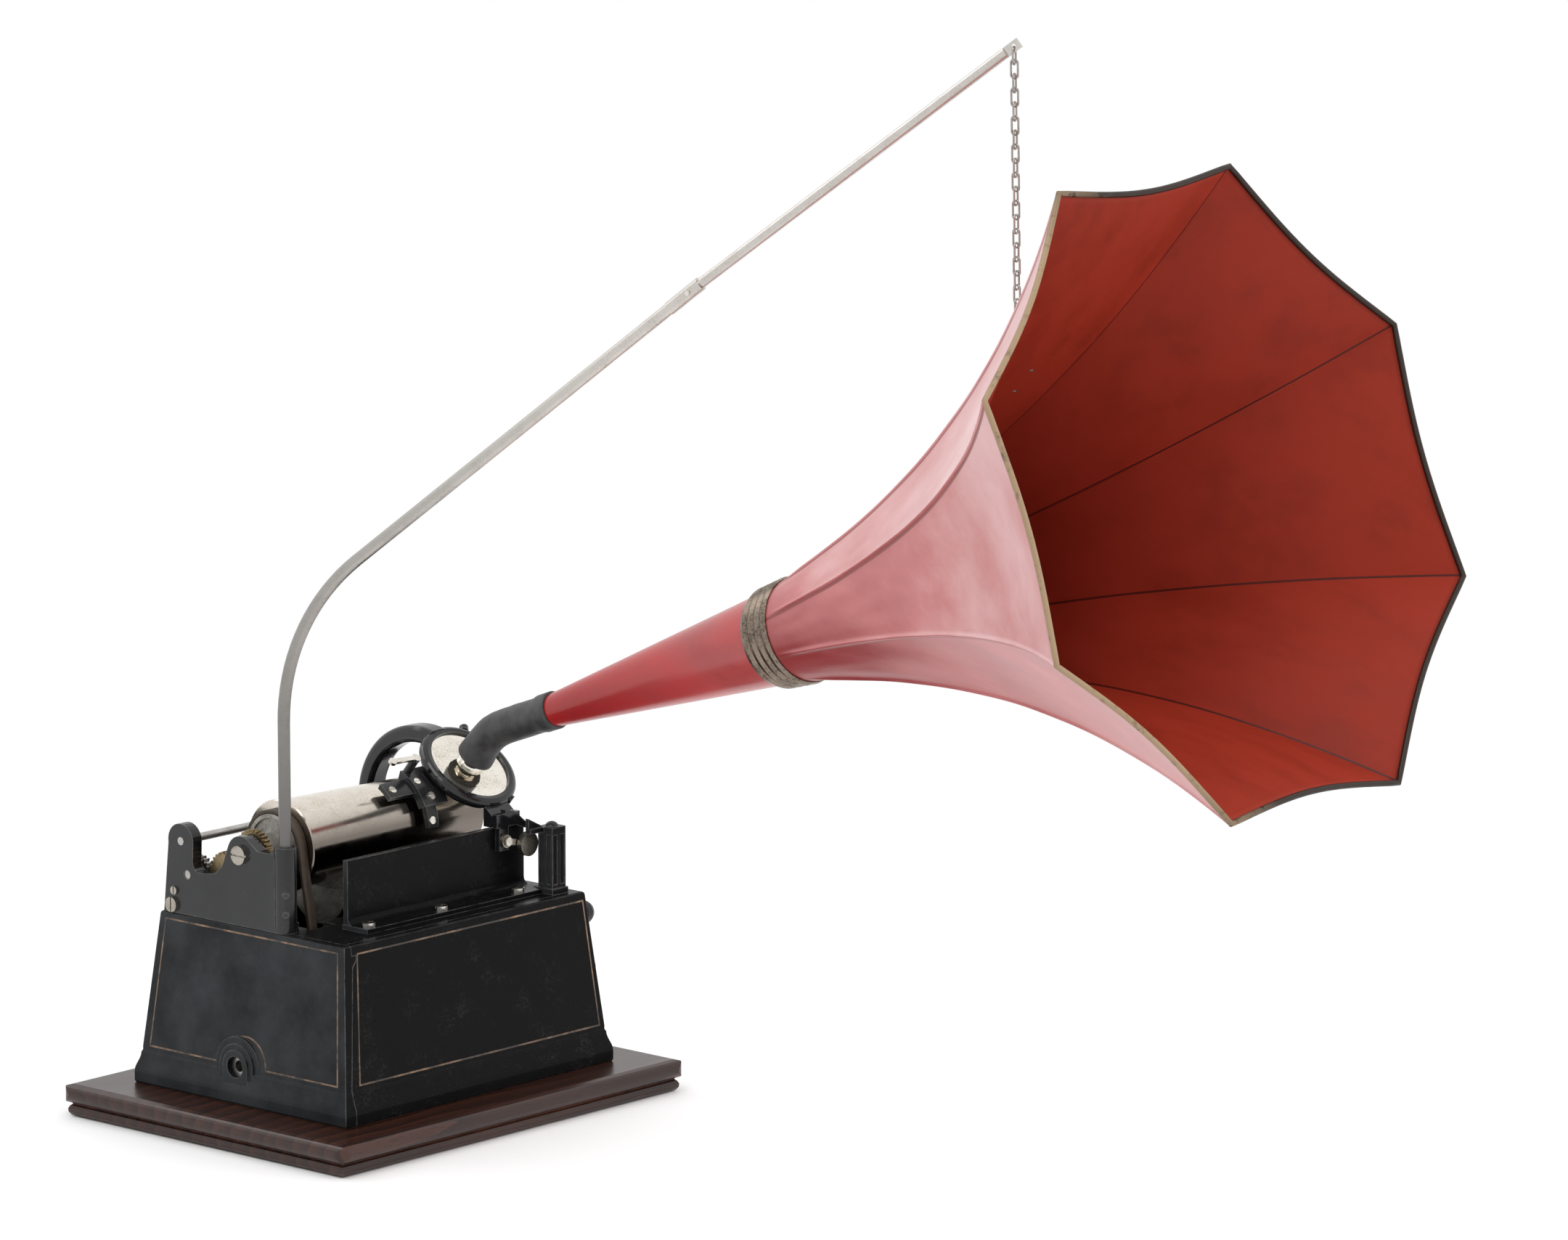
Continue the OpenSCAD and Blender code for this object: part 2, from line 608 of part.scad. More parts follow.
// Feed gear train
mandrel_c = [mandrel_y, mandrel_z];
feed_c = [feed_y, feed_z];
idler_c = third(mandrel_c, feed_c, (mandrel_teeth + idler_teeth) * feed_module / 2,
    (idler_teeth + feed_teeth) * feed_module / 2, -1);
mandrel_gear_turn = 0;
idler_turn = mesh_turn(bearing(mandrel_c, idler_c), mandrel_gear_turn, mandrel_teeth, idler_teeth);
feed_turn = mesh_turn(bearing(idler_c, feed_c), idler_turn, idler_teeth, feed_teeth);
module mandrel_gear() {
    color([0.62, 0.55, 0.36]) gear_x(gear_x, gear_w, mandrel_c, mandrel_teeth, feed_module,
        mandrel_gear_turn, bush_r);
}
module idler_gear() {
    color([0.62, 0.55, 0.36]) gear_x(gear_x, gear_w, idler_c, idler_teeth, feed_module, idler_turn,
        idler_stud_r + run);
}
module idler_stud() {
    color([0.7, 0.68, 0.62]) {
        rod_x(bracket_in - 4, gear_w + 6.2, idler_c[0], idler_c[1], idler_stud_r);
        rod_x(bracket_in, 1.4, idler_c[0], idler_c[1], idler_stud_r + 1.6);
        rod_x(gear_x + gear_w + 0.2, 1, idler_c[0], idler_c[1], idler_stud_r + 1.6);
    }
}
module feed_screw() {
    color([0.66, 0.65, 0.62]) {
        rod_x(bracket_x + 0.4, standard_x + standard_t - 0.8 - bracket_x, feed_y, feed_z, feed_journal_r);
        rod_x(bracket_in + gap, standard_x - bracket_in - 2 * gap, feed_y, feed_z, feed_r);
        gear_x(gear_x, gear_w, feed_c, feed_teeth, feed_module, feed_turn, feed_r - 0.5);
    }
}

// Mandrel: tapered hollow shell on two bushed webs
module mandrel_shell() {
    color([0.80, 0.79, 0.76]) along_x(flange_x, mandrel_y, mandrel_z) difference() {
        union() {
            rotate_extrude($fn = 64) polygon([[bush_r, 0], [flange_r - 0.6, 0], [flange_r, 0.6],
                [flange_r, flange_w - 0.6], [flange_r - 0.6, flange_w], [mandrel_r_big, flange_w],
                [mandrel_r_small, mandrel_len], [mandrel_r_small - mandrel_wall, mandrel_len],
                [mandrel_r_big - mandrel_wall, flange_w], [bush_r, flange_w]]);
            translate([0, 0, mandrel_len - 14]) rotate_extrude($fn = 64) polygon([[bush_r, 0],
                [mandrel_r_small - mandrel_wall + 0.4, 0], [mandrel_r_small - mandrel_wall + 0.3, 3],
                [bush_r + 2, 3], [bush_r + 2, 5], [bush_r, 5]]);
        }
        for (a = [0:60:300]) rotate(a) translate([12.5, 0, mandrel_len - 15])
            cylinder(r = 3.2, h = 8, $fn = 24);
    }
}
module mandrel_pulley() {
    color([0.60, 0.60, 0.57]) difference() {
        union() {
            rod_x(pulley_x, pulley_w, mandrel_y, mandrel_z, mandrel_pulley_r);
            rod_x(gear_x - 0.6, pulley_x - gear_x + 1, mandrel_y, mandrel_z, bush_r);
            rod_x(gear_x + gear_w, pulley_x - gear_x - gear_w, mandrel_y, mandrel_z, bush_r + 2);
            rod_x(flange_x - eps, mandrel_len - 8.5, mandrel_y, mandrel_z, bush_r);
        }
        rod_x(gear_x - 2, mandrel_len + 40, mandrel_y, mandrel_z, arbor_r + run);
        difference() {
            rod_x(pulley_x - 1, 2.5, mandrel_y, mandrel_z, mandrel_pulley_r - 2);
            rod_x(pulley_x - 2, 5, mandrel_y, mandrel_z, bush_r + 3);
        }
    }
}

// Belt over two pulleys of different size, with straight runs along their common tangents
belt_gap = 0.1;
drive_c = [drive_y, drive_z];
function belt_outline(grow) =
    let (r1 = mandrel_pulley_r + grow, r2 = drive_pulley_r + grow,
        b = bearing(mandrel_c, drive_c), a = acos((r1 - r2) / norm(drive_c - mandrel_c)))
    concat(arc(mandrel_c, r1, b + a, b + 360 - a, 40), arc(drive_c, r2, b - a, b + a, 32));
module drive_belt() {
    color([0.10, 0.07, 0.05]) along_x(pulley_x + (pulley_w - belt_w) / 2, 0, 0) linear_extrude(belt_w)
        difference() {
            polygon(belt_outline(belt_gap + belt_t));
            polygon(belt_outline(belt_gap));
        }
}

// Motor train: barrel, train arbor, drive shaft, governor
train_module = 0.8;
fine_module = 0.6;
pinion_teeth = 12;
train_wheel_teeth = 60;
governor_wheel_teeth = 50;
governor_teeth = 10;
winding_pinion_teeth = 14;
winding_wheel_teeth = 50;
barrel_c = [barrel_y, barrel_z];
winding_c = [winding_y, winding_z];
winding_module = 2 * norm(barrel_c - winding_c) / (winding_pinion_teeth + winding_wheel_teeth);
train_c = third(drive_c, barrel_c, (train_wheel_teeth + pinion_teeth) * fine_module / 2,
    (barrel_teeth + pinion_teeth) * train_module / 2, 1);
governor_gap = (governor_wheel_teeth + governor_teeth) * fine_module / 2;
governor_bearing = 141;
governor_c = drive_c + governor_gap * [cos(governor_bearing), sin(governor_bearing)];
barrel_turn = 0;
train_turn = mesh_turn(bearing(barrel_c, train_c), barrel_turn, barrel_teeth, pinion_teeth);
train_wheel_turn = train_turn;
drive_turn = mesh_turn(bearing(train_c, drive_c), train_wheel_turn, train_wheel_teeth, pinion_teeth);
governor_turn = mesh_turn(governor_bearing, drive_turn, governor_wheel_teeth, governor_teeth);
winding_turn = 0;
winding_wheel_turn = mesh_turn(bearing(winding_c, barrel_c), winding_turn, winding_pinion_teeth,
    winding_wheel_teeth);
plate_edge_z = board_t + 3;
motor_top = deck_z - deck_t;
motor_front = -deck_d / 2 + 19.5;
motor_back = deck_d / 2 - 7.5;
pillar_spots = [[motor_front + 6, motor_top - 8], [motor_front + 12, board_t + 9],
    [motor_back - 8, motor_top - 5], [motor_back - 8, board_t + 10]];

module motor_plates() {
    color([0.55, 0.54, 0.5]) for (k = [0:2]) difference() {
        translate([motor_x[k], motor_front, plate_edge_z])
            cube([motor_plate_t, motor_back - motor_front, motor_top - plate_edge_z]);
        rod_x(motor_x[k] - 1, 4, tray_y, tray_z, tray_r + 1);
        rod_x(motor_x[k] - 1, 4, drive_y, drive_z, shaft_r + run);
        rod_x(motor_x[k] - 1, 4, barrel_y, barrel_z, k == 2 ? 12 : shaft_r + 1 + run);
        rod_x(motor_x[k] - 1, 4, train_c[0], train_c[1], k == 2 ? 12 : 1.5 + run);
        rod_x(motor_x[k] - 1, 4, winding_y, winding_z, k == 0 ? 3.5 + run : 5);
        rod_x(motor_x[k] - 1, 4, governor_c[0], governor_c[1], k == 0 ? 6 : 1.2 + run);
        for (p = pillar_spots) rod_x(motor_x[k] - 1, 4, p[0], p[1], 2);
    }
}
module motor_pillars() {
    color([0.5, 0.5, 0.48]) for (p = pillar_spots) {
        rod_x(motor_x[0] - 0.6, motor_x[2] - motor_x[0] + 3.2, p[0], p[1], 2);
        for (k = [0, 1]) rod_x(motor_x[k] + motor_plate_t, motor_x[k + 1] - motor_x[k] - motor_plate_t,
            p[0], p[1], 3.2);
    }
}
module winding_arbor() {
    color([0.6, 0.6, 0.58]) difference() {
        union() {
            rod_x(-boss_out + 4, motor_x[0] - 1 + boss_out - 4, winding_y, winding_z,
                crank_hole_r - run);
            rod_x(motor_x[0] - 2, 13, winding_y, winding_z, 3.5);
            gear_x(motor_x[0] + 4.5, 4, winding_c, winding_pinion_teeth, winding_module, winding_turn, 3);
        }
        rod_x(-boss_out, 16, winding_y, winding_z, 3);
    }
}
module winding_wheel() {
    color([0.66, 0.58, 0.36]) {
        gear_x(motor_x[0] + 5, 3, barrel_c, winding_wheel_teeth, winding_module, winding_wheel_turn,
            shaft_r);
        rod_x(motor_x[0] - 0.5, motor_x[1] - motor_x[0] + 2.8, barrel_y, barrel_z, shaft_r + 1);
    }
}
drum_x = motor_x[0] + 14;
drum_len = 27;
module spring_barrel() {
    color([0.62, 0.6, 0.54]) difference() {
        union() {
            rod_x(drum_x, drum_len, barrel_y, barrel_z, drum_r);
            gear_x(drum_x, 3, barrel_c, barrel_teeth, train_module, barrel_turn, shaft_r);
        }
        rod_x(drum_x - 1, drum_len + 2, barrel_y, barrel_z, shaft_r + 1 + run);
        rod_x(drum_x + 3, drum_len - 5, barrel_y, barrel_z, drum_r - 1.5);
    }
}
spring_turns = 7;
spring_t = 0.5;
function spiral(r0, r1, turns, grow) = [for (i = [0:turns * 12]) let (a = 30 * i,
    r = r0 + (r1 - r0) * i / (turns * 12) + grow) [r * cos(a), r * sin(a)]];
module mainspring() {
    inner = spiral(shaft_r + 1.6, drum_r - 3.2, spring_turns, 0);
    outer = spiral(shaft_r + 1.6, drum_r - 3.2, spring_turns, spring_t);
    color([0.35, 0.38, 0.45]) along_x(drum_x + 4.5, barrel_y, barrel_z) linear_extrude(drum_len - 8)
        polygon(concat(inner, [for (i = [len(outer) - 1:-1:0]) outer[i]]));
}
module train_arbor() {
    color([0.66, 0.6, 0.42]) {
        rod_x(drum_x - 4, motor_x[1] + motor_plate_t - drum_x + 4, train_c[0], train_c[1], 1.5);
        rod_x(motor_x[0] + 0.3, drum_x - 3 - motor_x[0], train_c[0], train_c[1], 1.5);
        gear_x(drum_x - 1, 5, train_c, pinion_teeth, train_module, train_turn, 1);
        gear_x(motor_x[1] - 6, 2.5, train_c, train_wheel_teeth, fine_module, train_wheel_turn, 1);
    }
}
module drive_shaft() {
    color([0.62, 0.61, 0.58]) {
        rod_x(pulley_x - 1, motor_x[2] + motor_plate_t + 1 - pulley_x, drive_y, drive_z, shaft_r);
        rod_x(pulley_x, pulley_w, drive_y, drive_z, drive_pulley_r);
        gear_x(motor_x[1] - 7, 4.5, drive_c, pinion_teeth, fine_module, drive_turn, shaft_r - 1);
        gear_x(motor_x[1] + 7, 2.5, drive_c, governor_wheel_teeth, fine_module, drive_turn, shaft_r - 1);
    }
}
governor_disc_x = motor_x[1] + 44;
governor_ball_x = (motor_x[1] + 14 + governor_disc_x) / 2;
governor_ball_r = 4.2;
module governor_spindle() {
    color([0.64, 0.63, 0.6]) {
        rod_x(motor_x[1] + 0.2, motor_x[2] + motor_plate_t - motor_x[1] - 0.4, governor_c[0],
            governor_c[1], 1.2);
        gear_x(motor_x[1] + 6, 4.5, governor_c, governor_teeth, fine_module, governor_turn, 0.8);
        rod_x(motor_x[1] + 13, 4, governor_c[0], governor_c[1], 4);
        rod_x(governor_disc_x - 5, 5, governor_c[0], governor_c[1], 4);
        rod_x(governor_disc_x, 2, governor_c[0], governor_c[1], 12);
    }
}
module governor_weights() {
    spring_in = motor_x[1] + 16.9;
    spring_out = governor_disc_x - 4.9;
    color([0.68, 0.58, 0.34]) for (a = [30:120:270]) translate([0, governor_c[0], governor_c[1]])
        rotate([a, 0, 0]) {
            translate([governor_ball_x, 9, 0]) sphere(r = governor_ball_r, $fn = round_fn);
            for (ends = [[spring_in, governor_ball_x - 3], [governor_ball_x + 3, spring_out]])
                translate([0, 0, -1.5]) linear_extrude(3) polygon([
                    [ends[0], ends[0] < governor_ball_x - 5 ? 3.6 : 9.4],
                    [ends[1], ends[1] > governor_ball_x ? 3.6 : 9.4],
                    [ends[1], ends[1] > governor_ball_x ? 4 : 9.9],
                    [ends[0], ends[0] < governor_ball_x - 5 ? 4 : 9.9]]);
        }
}
module brake_arm() {
    color([0.5, 0.45, 0.38]) {
        translate([motor_x[2] - 8, governor_c[0] - 6, governor_c[1] - 3]) cube([8, 3, 6]);
        rod_x(governor_disc_x + 2 + gap, motor_x[2] - 8 - governor_disc_x - 2 - gap + eps,
            governor_c[0] - 5, governor_c[1], 2.4);
    }
}

// Controls on the right side of the case
stop_shaft_r = 2.4;
speed_r = 1.6;
module stop_knob() {
    color([0.06, 0.06, 0.065]) {
        rod_x(deck_w / 2 - 14, 14 + 3.2 + gap, stop_y, stop_z, stop_shaft_r);
        translate([deck_w / 2 + 3.2 + gap, stop_y, stop_z]) rotate([0, 90, 0]) rotate_extrude($fn = 48)
            polygon([[0, 0], [4.6, 0], [6, 1.2], [6, 4.5], [5, 6.4], [3, 7.4], [0, 7.6]]);
        translate([deck_w / 2 - 16, stop_y - 0.5, stop_z - 2]) cube([2.5, 12, 4]);
    }
}
module speed_screw() {
    color([0.70, 0.42, 0.30]) {
        rod_x(deck_w / 2 - 20, 27, speed_y, speed_z, speed_r);
        rod_x(deck_w / 2 + 5.5 + gap, 3, speed_y, speed_z, 3.4);
        rod_x(deck_w / 2 + 8, 1.5, speed_y, speed_z, 2.4);
    }
}

// Carriage: a sleeve that slides on the rod, and the arched arm that turns on the sleeve
module carriage_sleeve() {
    color([0.5, 0.5, 0.48]) difference() {
        union() {
            rod_x(hub_x - gap - sleeve_collar, hub_w + 2 * gap + 2 * sleeve_collar, rod_y, rod_z, sleeve_r);
            rod_x(hub_x - gap - sleeve_collar, sleeve_collar, rod_y, rod_z, sleeve_r + 1.8);
            rod_x(hub_x + hub_w + gap, sleeve_collar, rod_y, rod_z, sleeve_r + 1.8);
            rod_x(hub_x - gap - sleeve_collar - 10, 11, rod_y, rod_z, sleeve_r - 1);
        }
        rod_x(hub_x - 40, 100, rod_y, rod_z, rod_r + run);
    }
}
module at_ring() {
    translate([carriage_x, ring_y, ring_z]) rotate([ring_tilt, 0, 0]) children();
}
// Cross section of the arch, a rectangle with rounded corners, x along the radius
arm_round = 3.2;
arm_section = [for (c = [[1, 1, 0], [-1, 1, 90], [-1, -1, 180], [1, -1, 270]]) each
    arc([c[0] * (arm_t / 2 - arm_round), c[1] * (arm_w / 2 - arm_round)], arm_round, c[2], c[2] + 90, 4)];
arm_end_angle = 104;
clamp_angle = 55;
clamp_seat = ring_r - 2;
module carriage_arm() {
    color([0.06, 0.06, 0.07]) difference() {
        union() {
            translate([hub_x + 0.5 + arm_w / 2, arch_y, arch_z]) rotate([90, 0, 90]) rotate([0, 0, -6])
                rotate_extrude(angle = arm_end_angle + 6, $fn = 128)
                translate([arch_r - arm_t / 2, 0]) polygon(arm_section);
            rod_x(hub_x, hub_w, rod_y, rod_z, sleeve_r + 3);
            at_ring() rotate_extrude($fn = 64) polygon(concat(
                [[repro_r + run, 0], [ring_r - 2.5, 0.4]], arc([ring_r - 2.9, -3], 3.4, 80, -60, 7),
                [[ring_r - 1.6, -ring_t], [repro_r - ring_lip, -ring_t],
                 [repro_r - ring_lip, -ring_t + 1], [repro_r + run, -ring_t + 1]]));
            at_ring() rotate(-65) translate([ring_r - 1.5, 0, -3]) rotate([0, 90, 0])
                cylinder(r = 2.4, h = 3, $fn = 24);
            intersection() {
                translate([carriage_x - foot_w / 2, plate_y - plate_t - 4, plate_top + gap])
                    cube([foot_w, plate_t + 7, 14]);
                at_ring() translate([-foot_w, -ring_r - 8, -20]) cube([2 * foot_w, 25, 17]);
            }
            translate([carriage_x - 6.5, plate_y - plate_t - 3.6, plate_top - 12])
                cube([6.5, 3.3, 12 + gap + eps]);
            translate([carriage_x - foot_w / 2, plate_y - plate_t - 3.6, plate_top + gap])
                cube([foot_w, 3.3, 7]);
            translate([carriage_x, plate_y - plate_t, plate_top]) rotate([90, 0, 0]) linear_extrude(3.6)
                polygon([[-2, 0.5], [-2, 9], [4, 8.2], [13.4, 0.6], [tail_reach, -2], [tail_reach, -4],
                    [12, -2.2], [5, 0.5]]);
        }
        rod_x(hub_x - 1, hub_w + 2, rod_y, rod_z, sleeve_r + run);
        at_ring() translate([0, 0, -ring_t + 1]) cylinder(r = repro_r + run, h = 40, $fn = 64);
        at_ring() translate([0, 0, -40]) cylinder(r = repro_r - ring_lip, h = 60, $fn = 64);
        at_ring() rotate(clamp_angle) translate([clamp_seat, 0, -3]) rotate([0, 90, 0])
            cylinder(r = 1.2, h = 8, $fn = 24);
        translate([lift_x, plate_y - plate_t - 6, lift_z]) rotate([-90, 0, 0])
            cylinder(r = 1.2, h = 5.6, $fn = 24);
    }
}
module ring_clamp_screw() {
    color([0.05, 0.05, 0.055]) at_ring() rotate(clamp_angle) translate([clamp_seat, 0, -3])
        rotate([0, 90, 0]) {
            cylinder(r = 1.2, h = 5, $fn = 24);
            translate([0, 0, 2.8]) cylinder(r = 2.4, h = 3.2, $fn = 32);
        }
}
module half_nut() {
    nut_y = feed_y - feed_r;
    color([0.72, 0.6, 0.32]) {
        difference() {
            translate([hub_x + 3, nut_y - 4, feed_z - 4]) cube([12, 6.4, 8]);
            rod_x(hub_x, 20, feed_y, feed_z, feed_r + gap);
        }
        difference() {
            along_x(hub_x + 4, 0, 0) linear_extrude(10) polygon([
                [nut_y - 4, feed_z + 3], [nut_y - 2.6, feed_z + 3],
                [rod_y - sleeve_r, rod_z - sleeve_r + 0.4],
                [rod_y - sleeve_r - 1.4, rod_z - sleeve_r + 1.6]]);
            rod_x(hub_x, hub_w, rod_y, rod_z, sleeve_r + 3);
        }
    }
}

// Shaver at the left of the ring: a saddle over the mandrel, clear of its flange as the carriage
// travels, with a tab to the left that passes behind the crane
saddle_in = flange_r + 1.2;
saddle_out = ring_up - ring_t + 0.6;
tab_out = saddle_in + 2.8;
saddle_x0 = carriage_x - 38.6;
saddle_x1 = carriage_x - 21.5;
saddle_a0 = 24;
saddle_a1 = 71;
tab_x0 = carriage_x - 57;
tab_a0 = 41;
tab_a1 = 62;
apron_x0 = carriage_x - 36.2;
apron_x1 = carriage_x - 29;
apron_a0 = 1;
// Screws on the saddle, as [x, angle up from the front, radius of the seat, head radius]
saddle_screws = [[carriage_x - 53, 50, tab_out, 2.1], [carriage_x - 32, 33, saddle_out, 2.1],
    [carriage_x - 36, 51, saddle_out, 1.9], [carriage_x - 34, 9, tab_out, 2]];
screw_sink = 0.8;
lever_seat = [-36, 8];
lever_len = 16.5;
// Part of a ring around the mandrel between two angles up from the front
module sector(x0, x1, r0, r1, a0, a1) {
    translate([x0, mandrel_y, mandrel_z]) rotate([90, 0, 90]) rotate([0, 0, 180 - a1])
        rotate_extrude(angle = a1 - a0, $fn = 96) translate([r0, 0]) square([r1 - r0, x1 - x0]);
}
module at_saddle_screw(p) {
    translate([p[0], mandrel_y, mandrel_z]) rotate([90 - p[1], 0, 0]) translate([0, 0, p[2] - screw_sink])
        children();
}
module shaver_block() {
    color([0.06, 0.06, 0.06]) difference() {
        union() {
            sector(saddle_x0, saddle_x1, saddle_in - 1, saddle_out, saddle_a0, saddle_a1);
            sector(tab_x0, saddle_x0 + 1, saddle_in - 1.5, tab_out, tab_a0, tab_a1);
            sector(apron_x0, apron_x1, saddle_in - 2, tab_out, apron_a0, saddle_a0 + 2);
            at_ring() translate([lever_seat[0], lever_seat[1], -ring_t - 1.6])
                cylinder(r = 2.2, h = ring_t + 4.4, $fn = 32);
        }
        at_ring() translate([0, 0, -ring_t]) cylinder(r = ring_r + 1.2, h = 40, $fn = 64);
        rod_x(tab_x0 - 1, saddle_x1 - tab_x0 + 2, mandrel_y, mandrel_z, saddle_in);
        for (p = saddle_screws) at_saddle_screw(p) cylinder(r = p[3], h = 6, $fn = 24);
    }
}
module shaver_screws() {
    color([0.8, 0.78, 0.74]) for (p = saddle_screws) at_saddle_screw(p) difference() {
        cylinder(r = p[3], h = screw_sink + 1, $fn = 24);
        translate([-3, -0.25, screw_sink + 0.4]) cube([6, 0.5, 1]);
    }
}
module shaver_lever() {
    color([0.8, 0.79, 0.76]) at_ring() translate([lever_seat[0], lever_seat[1], 2.9]) {
        cylinder(r = 2.4, h = 1.6, $fn = 32);
        rotate(177) translate([0, -1.3, 0]) cube([lever_len, 2.6, 1.6]);
        rotate(177) translate([lever_len, 0, 0]) cylinder(r = 2.1, h = 1.6, $fn = 24);
    }
}

// Lift lever on the tail of the foot
lift_x = carriage_x - 3.3;
lift_z = plate_top - 6.8;
lift_reach = 13.4;
lift_drop = -13;
// Tail of the foot, which slopes down towards the end post
tail_reach = 20.5;
module lift_lever_pin() {
    color([0.8, 0.79, 0.76]) translate([lift_x, plate_y - plate_t - 6.4, lift_z]) rotate([-90, 0, 0]) {
        cylinder(r = 1.2, h = 6.1 - 0.1, $fn = 24);
        translate([0, 0, -1]) cylinder(r = 2.3, h = 1, $fn = 24);
    }
}
module lift_lever() {
    color([0.55, 0.52, 0.47]) translate([lift_x, plate_y - plate_t - 3.8, lift_z])
        rotate([0, -lift_drop, 0]) rotate([90, 0, 0]) {
            difference() {
                union() {
                    cylinder(r = 3.4, h = 2, $fn = 32);
                    translate([0, -1.6, 0]) cube([lift_reach, 3.2, 2]);
                }
                translate([0, 0, -1]) cylinder(r = 1.2 + run, h = 4, $fn = 24);
            }
            translate([lift_reach, 0, 0]) cylinder(r = 1.9, h = 5, $fn = 24);
            translate([lift_reach, 0, 2.6]) cylinder(r = 6.3, h = 3, $fn = round_fn);
        }
}

// Reproducer: nickel body with a neck, mica diaphragm and floating weight below
neck_h = 12;
module reproducer_body() {
    color([0.82, 0.80, 0.76]) at_ring() difference() {
        rotate_extrude($fn = 64) polygon([[0, -4.6], [repro_r - ring_lip - 0.4, -4.6],
            [repro_r - ring_lip - 0.4, -4.6 + 0.2], [repro_r, -4.6 + 0.2], [repro_r, -1.2], [15, -0.9],
            [11, -0.6], [7.6, -0.2], [7.2, 1.8], [5.6, 3.6], [5.4, neck_h - 6], [elbow_in - run, neck_h - 5],
            [elbow_in - run, neck_h - 1.5], [6.4, neck_h], [0, neck_h]]);
        translate([0, 0, -3]) cylinder(r = 4, h = 40, $fn = 32);
        translate([0, 0, -5]) cylinder(r = 17.5, h = 2.5, $fn = 64);
        translate([-3, 14.4, -8]) cube([6, 3, 3.2]);
    }
}
module diaphragm() {
    color([0.75, 0.70, 0.55]) at_ring() translate([0, 0, -3.6]) cylinder(r = 17.5, h = 0.4, $fn = 64);
}
module floating_weight() {
    color([0.5, 0.47, 0.4]) at_ring() {
        difference() {
            translate([0, 0, -7.6]) cylinder(r = 16, h = 2, $fn = 64);
            translate([0, 0, -9]) cylinder(r = 5.5, h = 5, $fn = 32);
            translate([-20, 13.4, -9]) cube([40, 20, 6]);
        }
        translate([-3, 13, -7.6]) cube([6, 5.2, 2]);
        translate([-1, -6, -8.6]) cube([2, 12, 1.2]);
        translate([0, 0, -9.2]) cylinder(r = 0.6, h = 0.8, $fn = 24);
    }
}

// Rubber elbow from the neck to the horn's small end
elbow_in = 7.5;
elbow_out = 9.2;
neck_dir = [-sin(ring_tilt), cos(ring_tilt)];
horn_dir = [-cos(horn_rise), sin(horn_rise)];
elbow_turn = 90 - ring_tilt - horn_rise;
elbow_start = [ring_y, ring_z] + neck_dir * (neck_h - 6);
elbow_end = [horn_y, horn_z] + horn_dir * 4;
// Distances along the two directions to the corner where they cross
elbow_cross = (elbow_end[0] - elbow_start[0]) * horn_dir[1] - (elbow_end[1] - elbow_start[1]) * horn_dir[0];
elbow_den = neck_dir[0] * horn_dir[1] - neck_dir[1] * horn_dir[0];
elbow_a = elbow_cross / elbow_den;
elbow_corner = elbow_start + neck_dir * elbow_a;
elbow_b = norm(elbow_end - elbow_corner);
elbow_bend = 38;
elbow_cut = elbow_bend * tan(elbow_turn / 2);
// Straight runs are a hair thinner than the bend and end just inside it, so the two fuse cleanly
elbow_step = 0.04;
module elbow_run(z, length) {
    translate([0, 0, z]) difference() {
        cylinder(r = elbow_out - elbow_step, h = length, $fn = round_fn);
        translate([0, 0, -1]) cylinder(r = elbow_in + elbow_step, h = length + 2, $fn = round_fn);
    }
}
module horn_elbow() {
    color([0.13, 0.13, 0.14]) {
        translate([carriage_x, elbow_start[0], elbow_start[1]]) rotate([ring_tilt, 0, 0]) {
            elbow_run(0, elbow_a - elbow_cut + 1);
            translate([0, -elbow_bend, elbow_a - elbow_cut]) rotate([90, 0, 90])
                rotate_extrude(angle = elbow_turn, $fn = 96) translate([elbow_bend, 0]) difference() {
                    circle(r = elbow_out, $fn = round_fn);
                    circle(r = elbow_in, $fn = round_fn);
                }
        }
        translate([carriage_x, elbow_corner[0], elbow_corner[1]]) rotate([90 - horn_rise, 0, 0]) {
            elbow_run(elbow_cut - 1, elbow_b - elbow_cut + 1);
            translate([0, 0, elbow_b - 9]) difference() {
                cylinder(r = elbow_out + 0.6, h = 9, $fn = round_fn);
                translate([0, 0, -1]) cylinder(r = elbow_in + elbow_step, h = 11, $fn = round_fn);
            }
        }
    }
}

// Horn parts sit on the horn axis, local +Z from the small end to the rim
module at_horn() {
    translate([carriage_x, horn_y, horn_z]) rotate([90 - horn_rise, 0, 0]) children();
}
module horn_neck() {
    s = horn_sheet;
    end_z = band_end - lap - 0.5;
    color([0.62, 0.09, 0.07]) at_horn() rotate_extrude($fn = 64) polygon([
        [elbow_in - run, -14], [elbow_in - run, 4.2], [horn_r0, 4.6], [neck_r(end_z), end_z],
        [neck_r(end_z) - s, end_z], [horn_r0 - s, 5.2], [elbow_in - run - s, 4.6],
        [elbow_in - run - s, -14]]);
}
function neck_r(z) = horn_r0 + (band_r0 - horn_r0) * z / band_start;
// The band laps over the ends of the neck and of the bell
lap = 11;
module horn_band() {
    ridge = (band_end - band_start) / 8;
    color([0.42, 0.37, 0.30]) at_horn() rotate_extrude($fn = 64) polygon(concat(
        [for (k = [0:8]) let (z = band_start + k * ridge)
            [neck_r(z) + horn_sheet + (k % 2 == 1 ? 1.7 : 0.9), z]],
        [[neck_r(band_end) + horn_sheet + 0.2, band_end],
         [neck_r(band_end - lap - 0.5) + horn_sheet + 0.2, band_end - lap - 0.5],
         [neck_r(band_end - lap - 1) + 0.05, band_end - lap - 1], [neck_r(band_start) + 0.05, band_start]]));
}
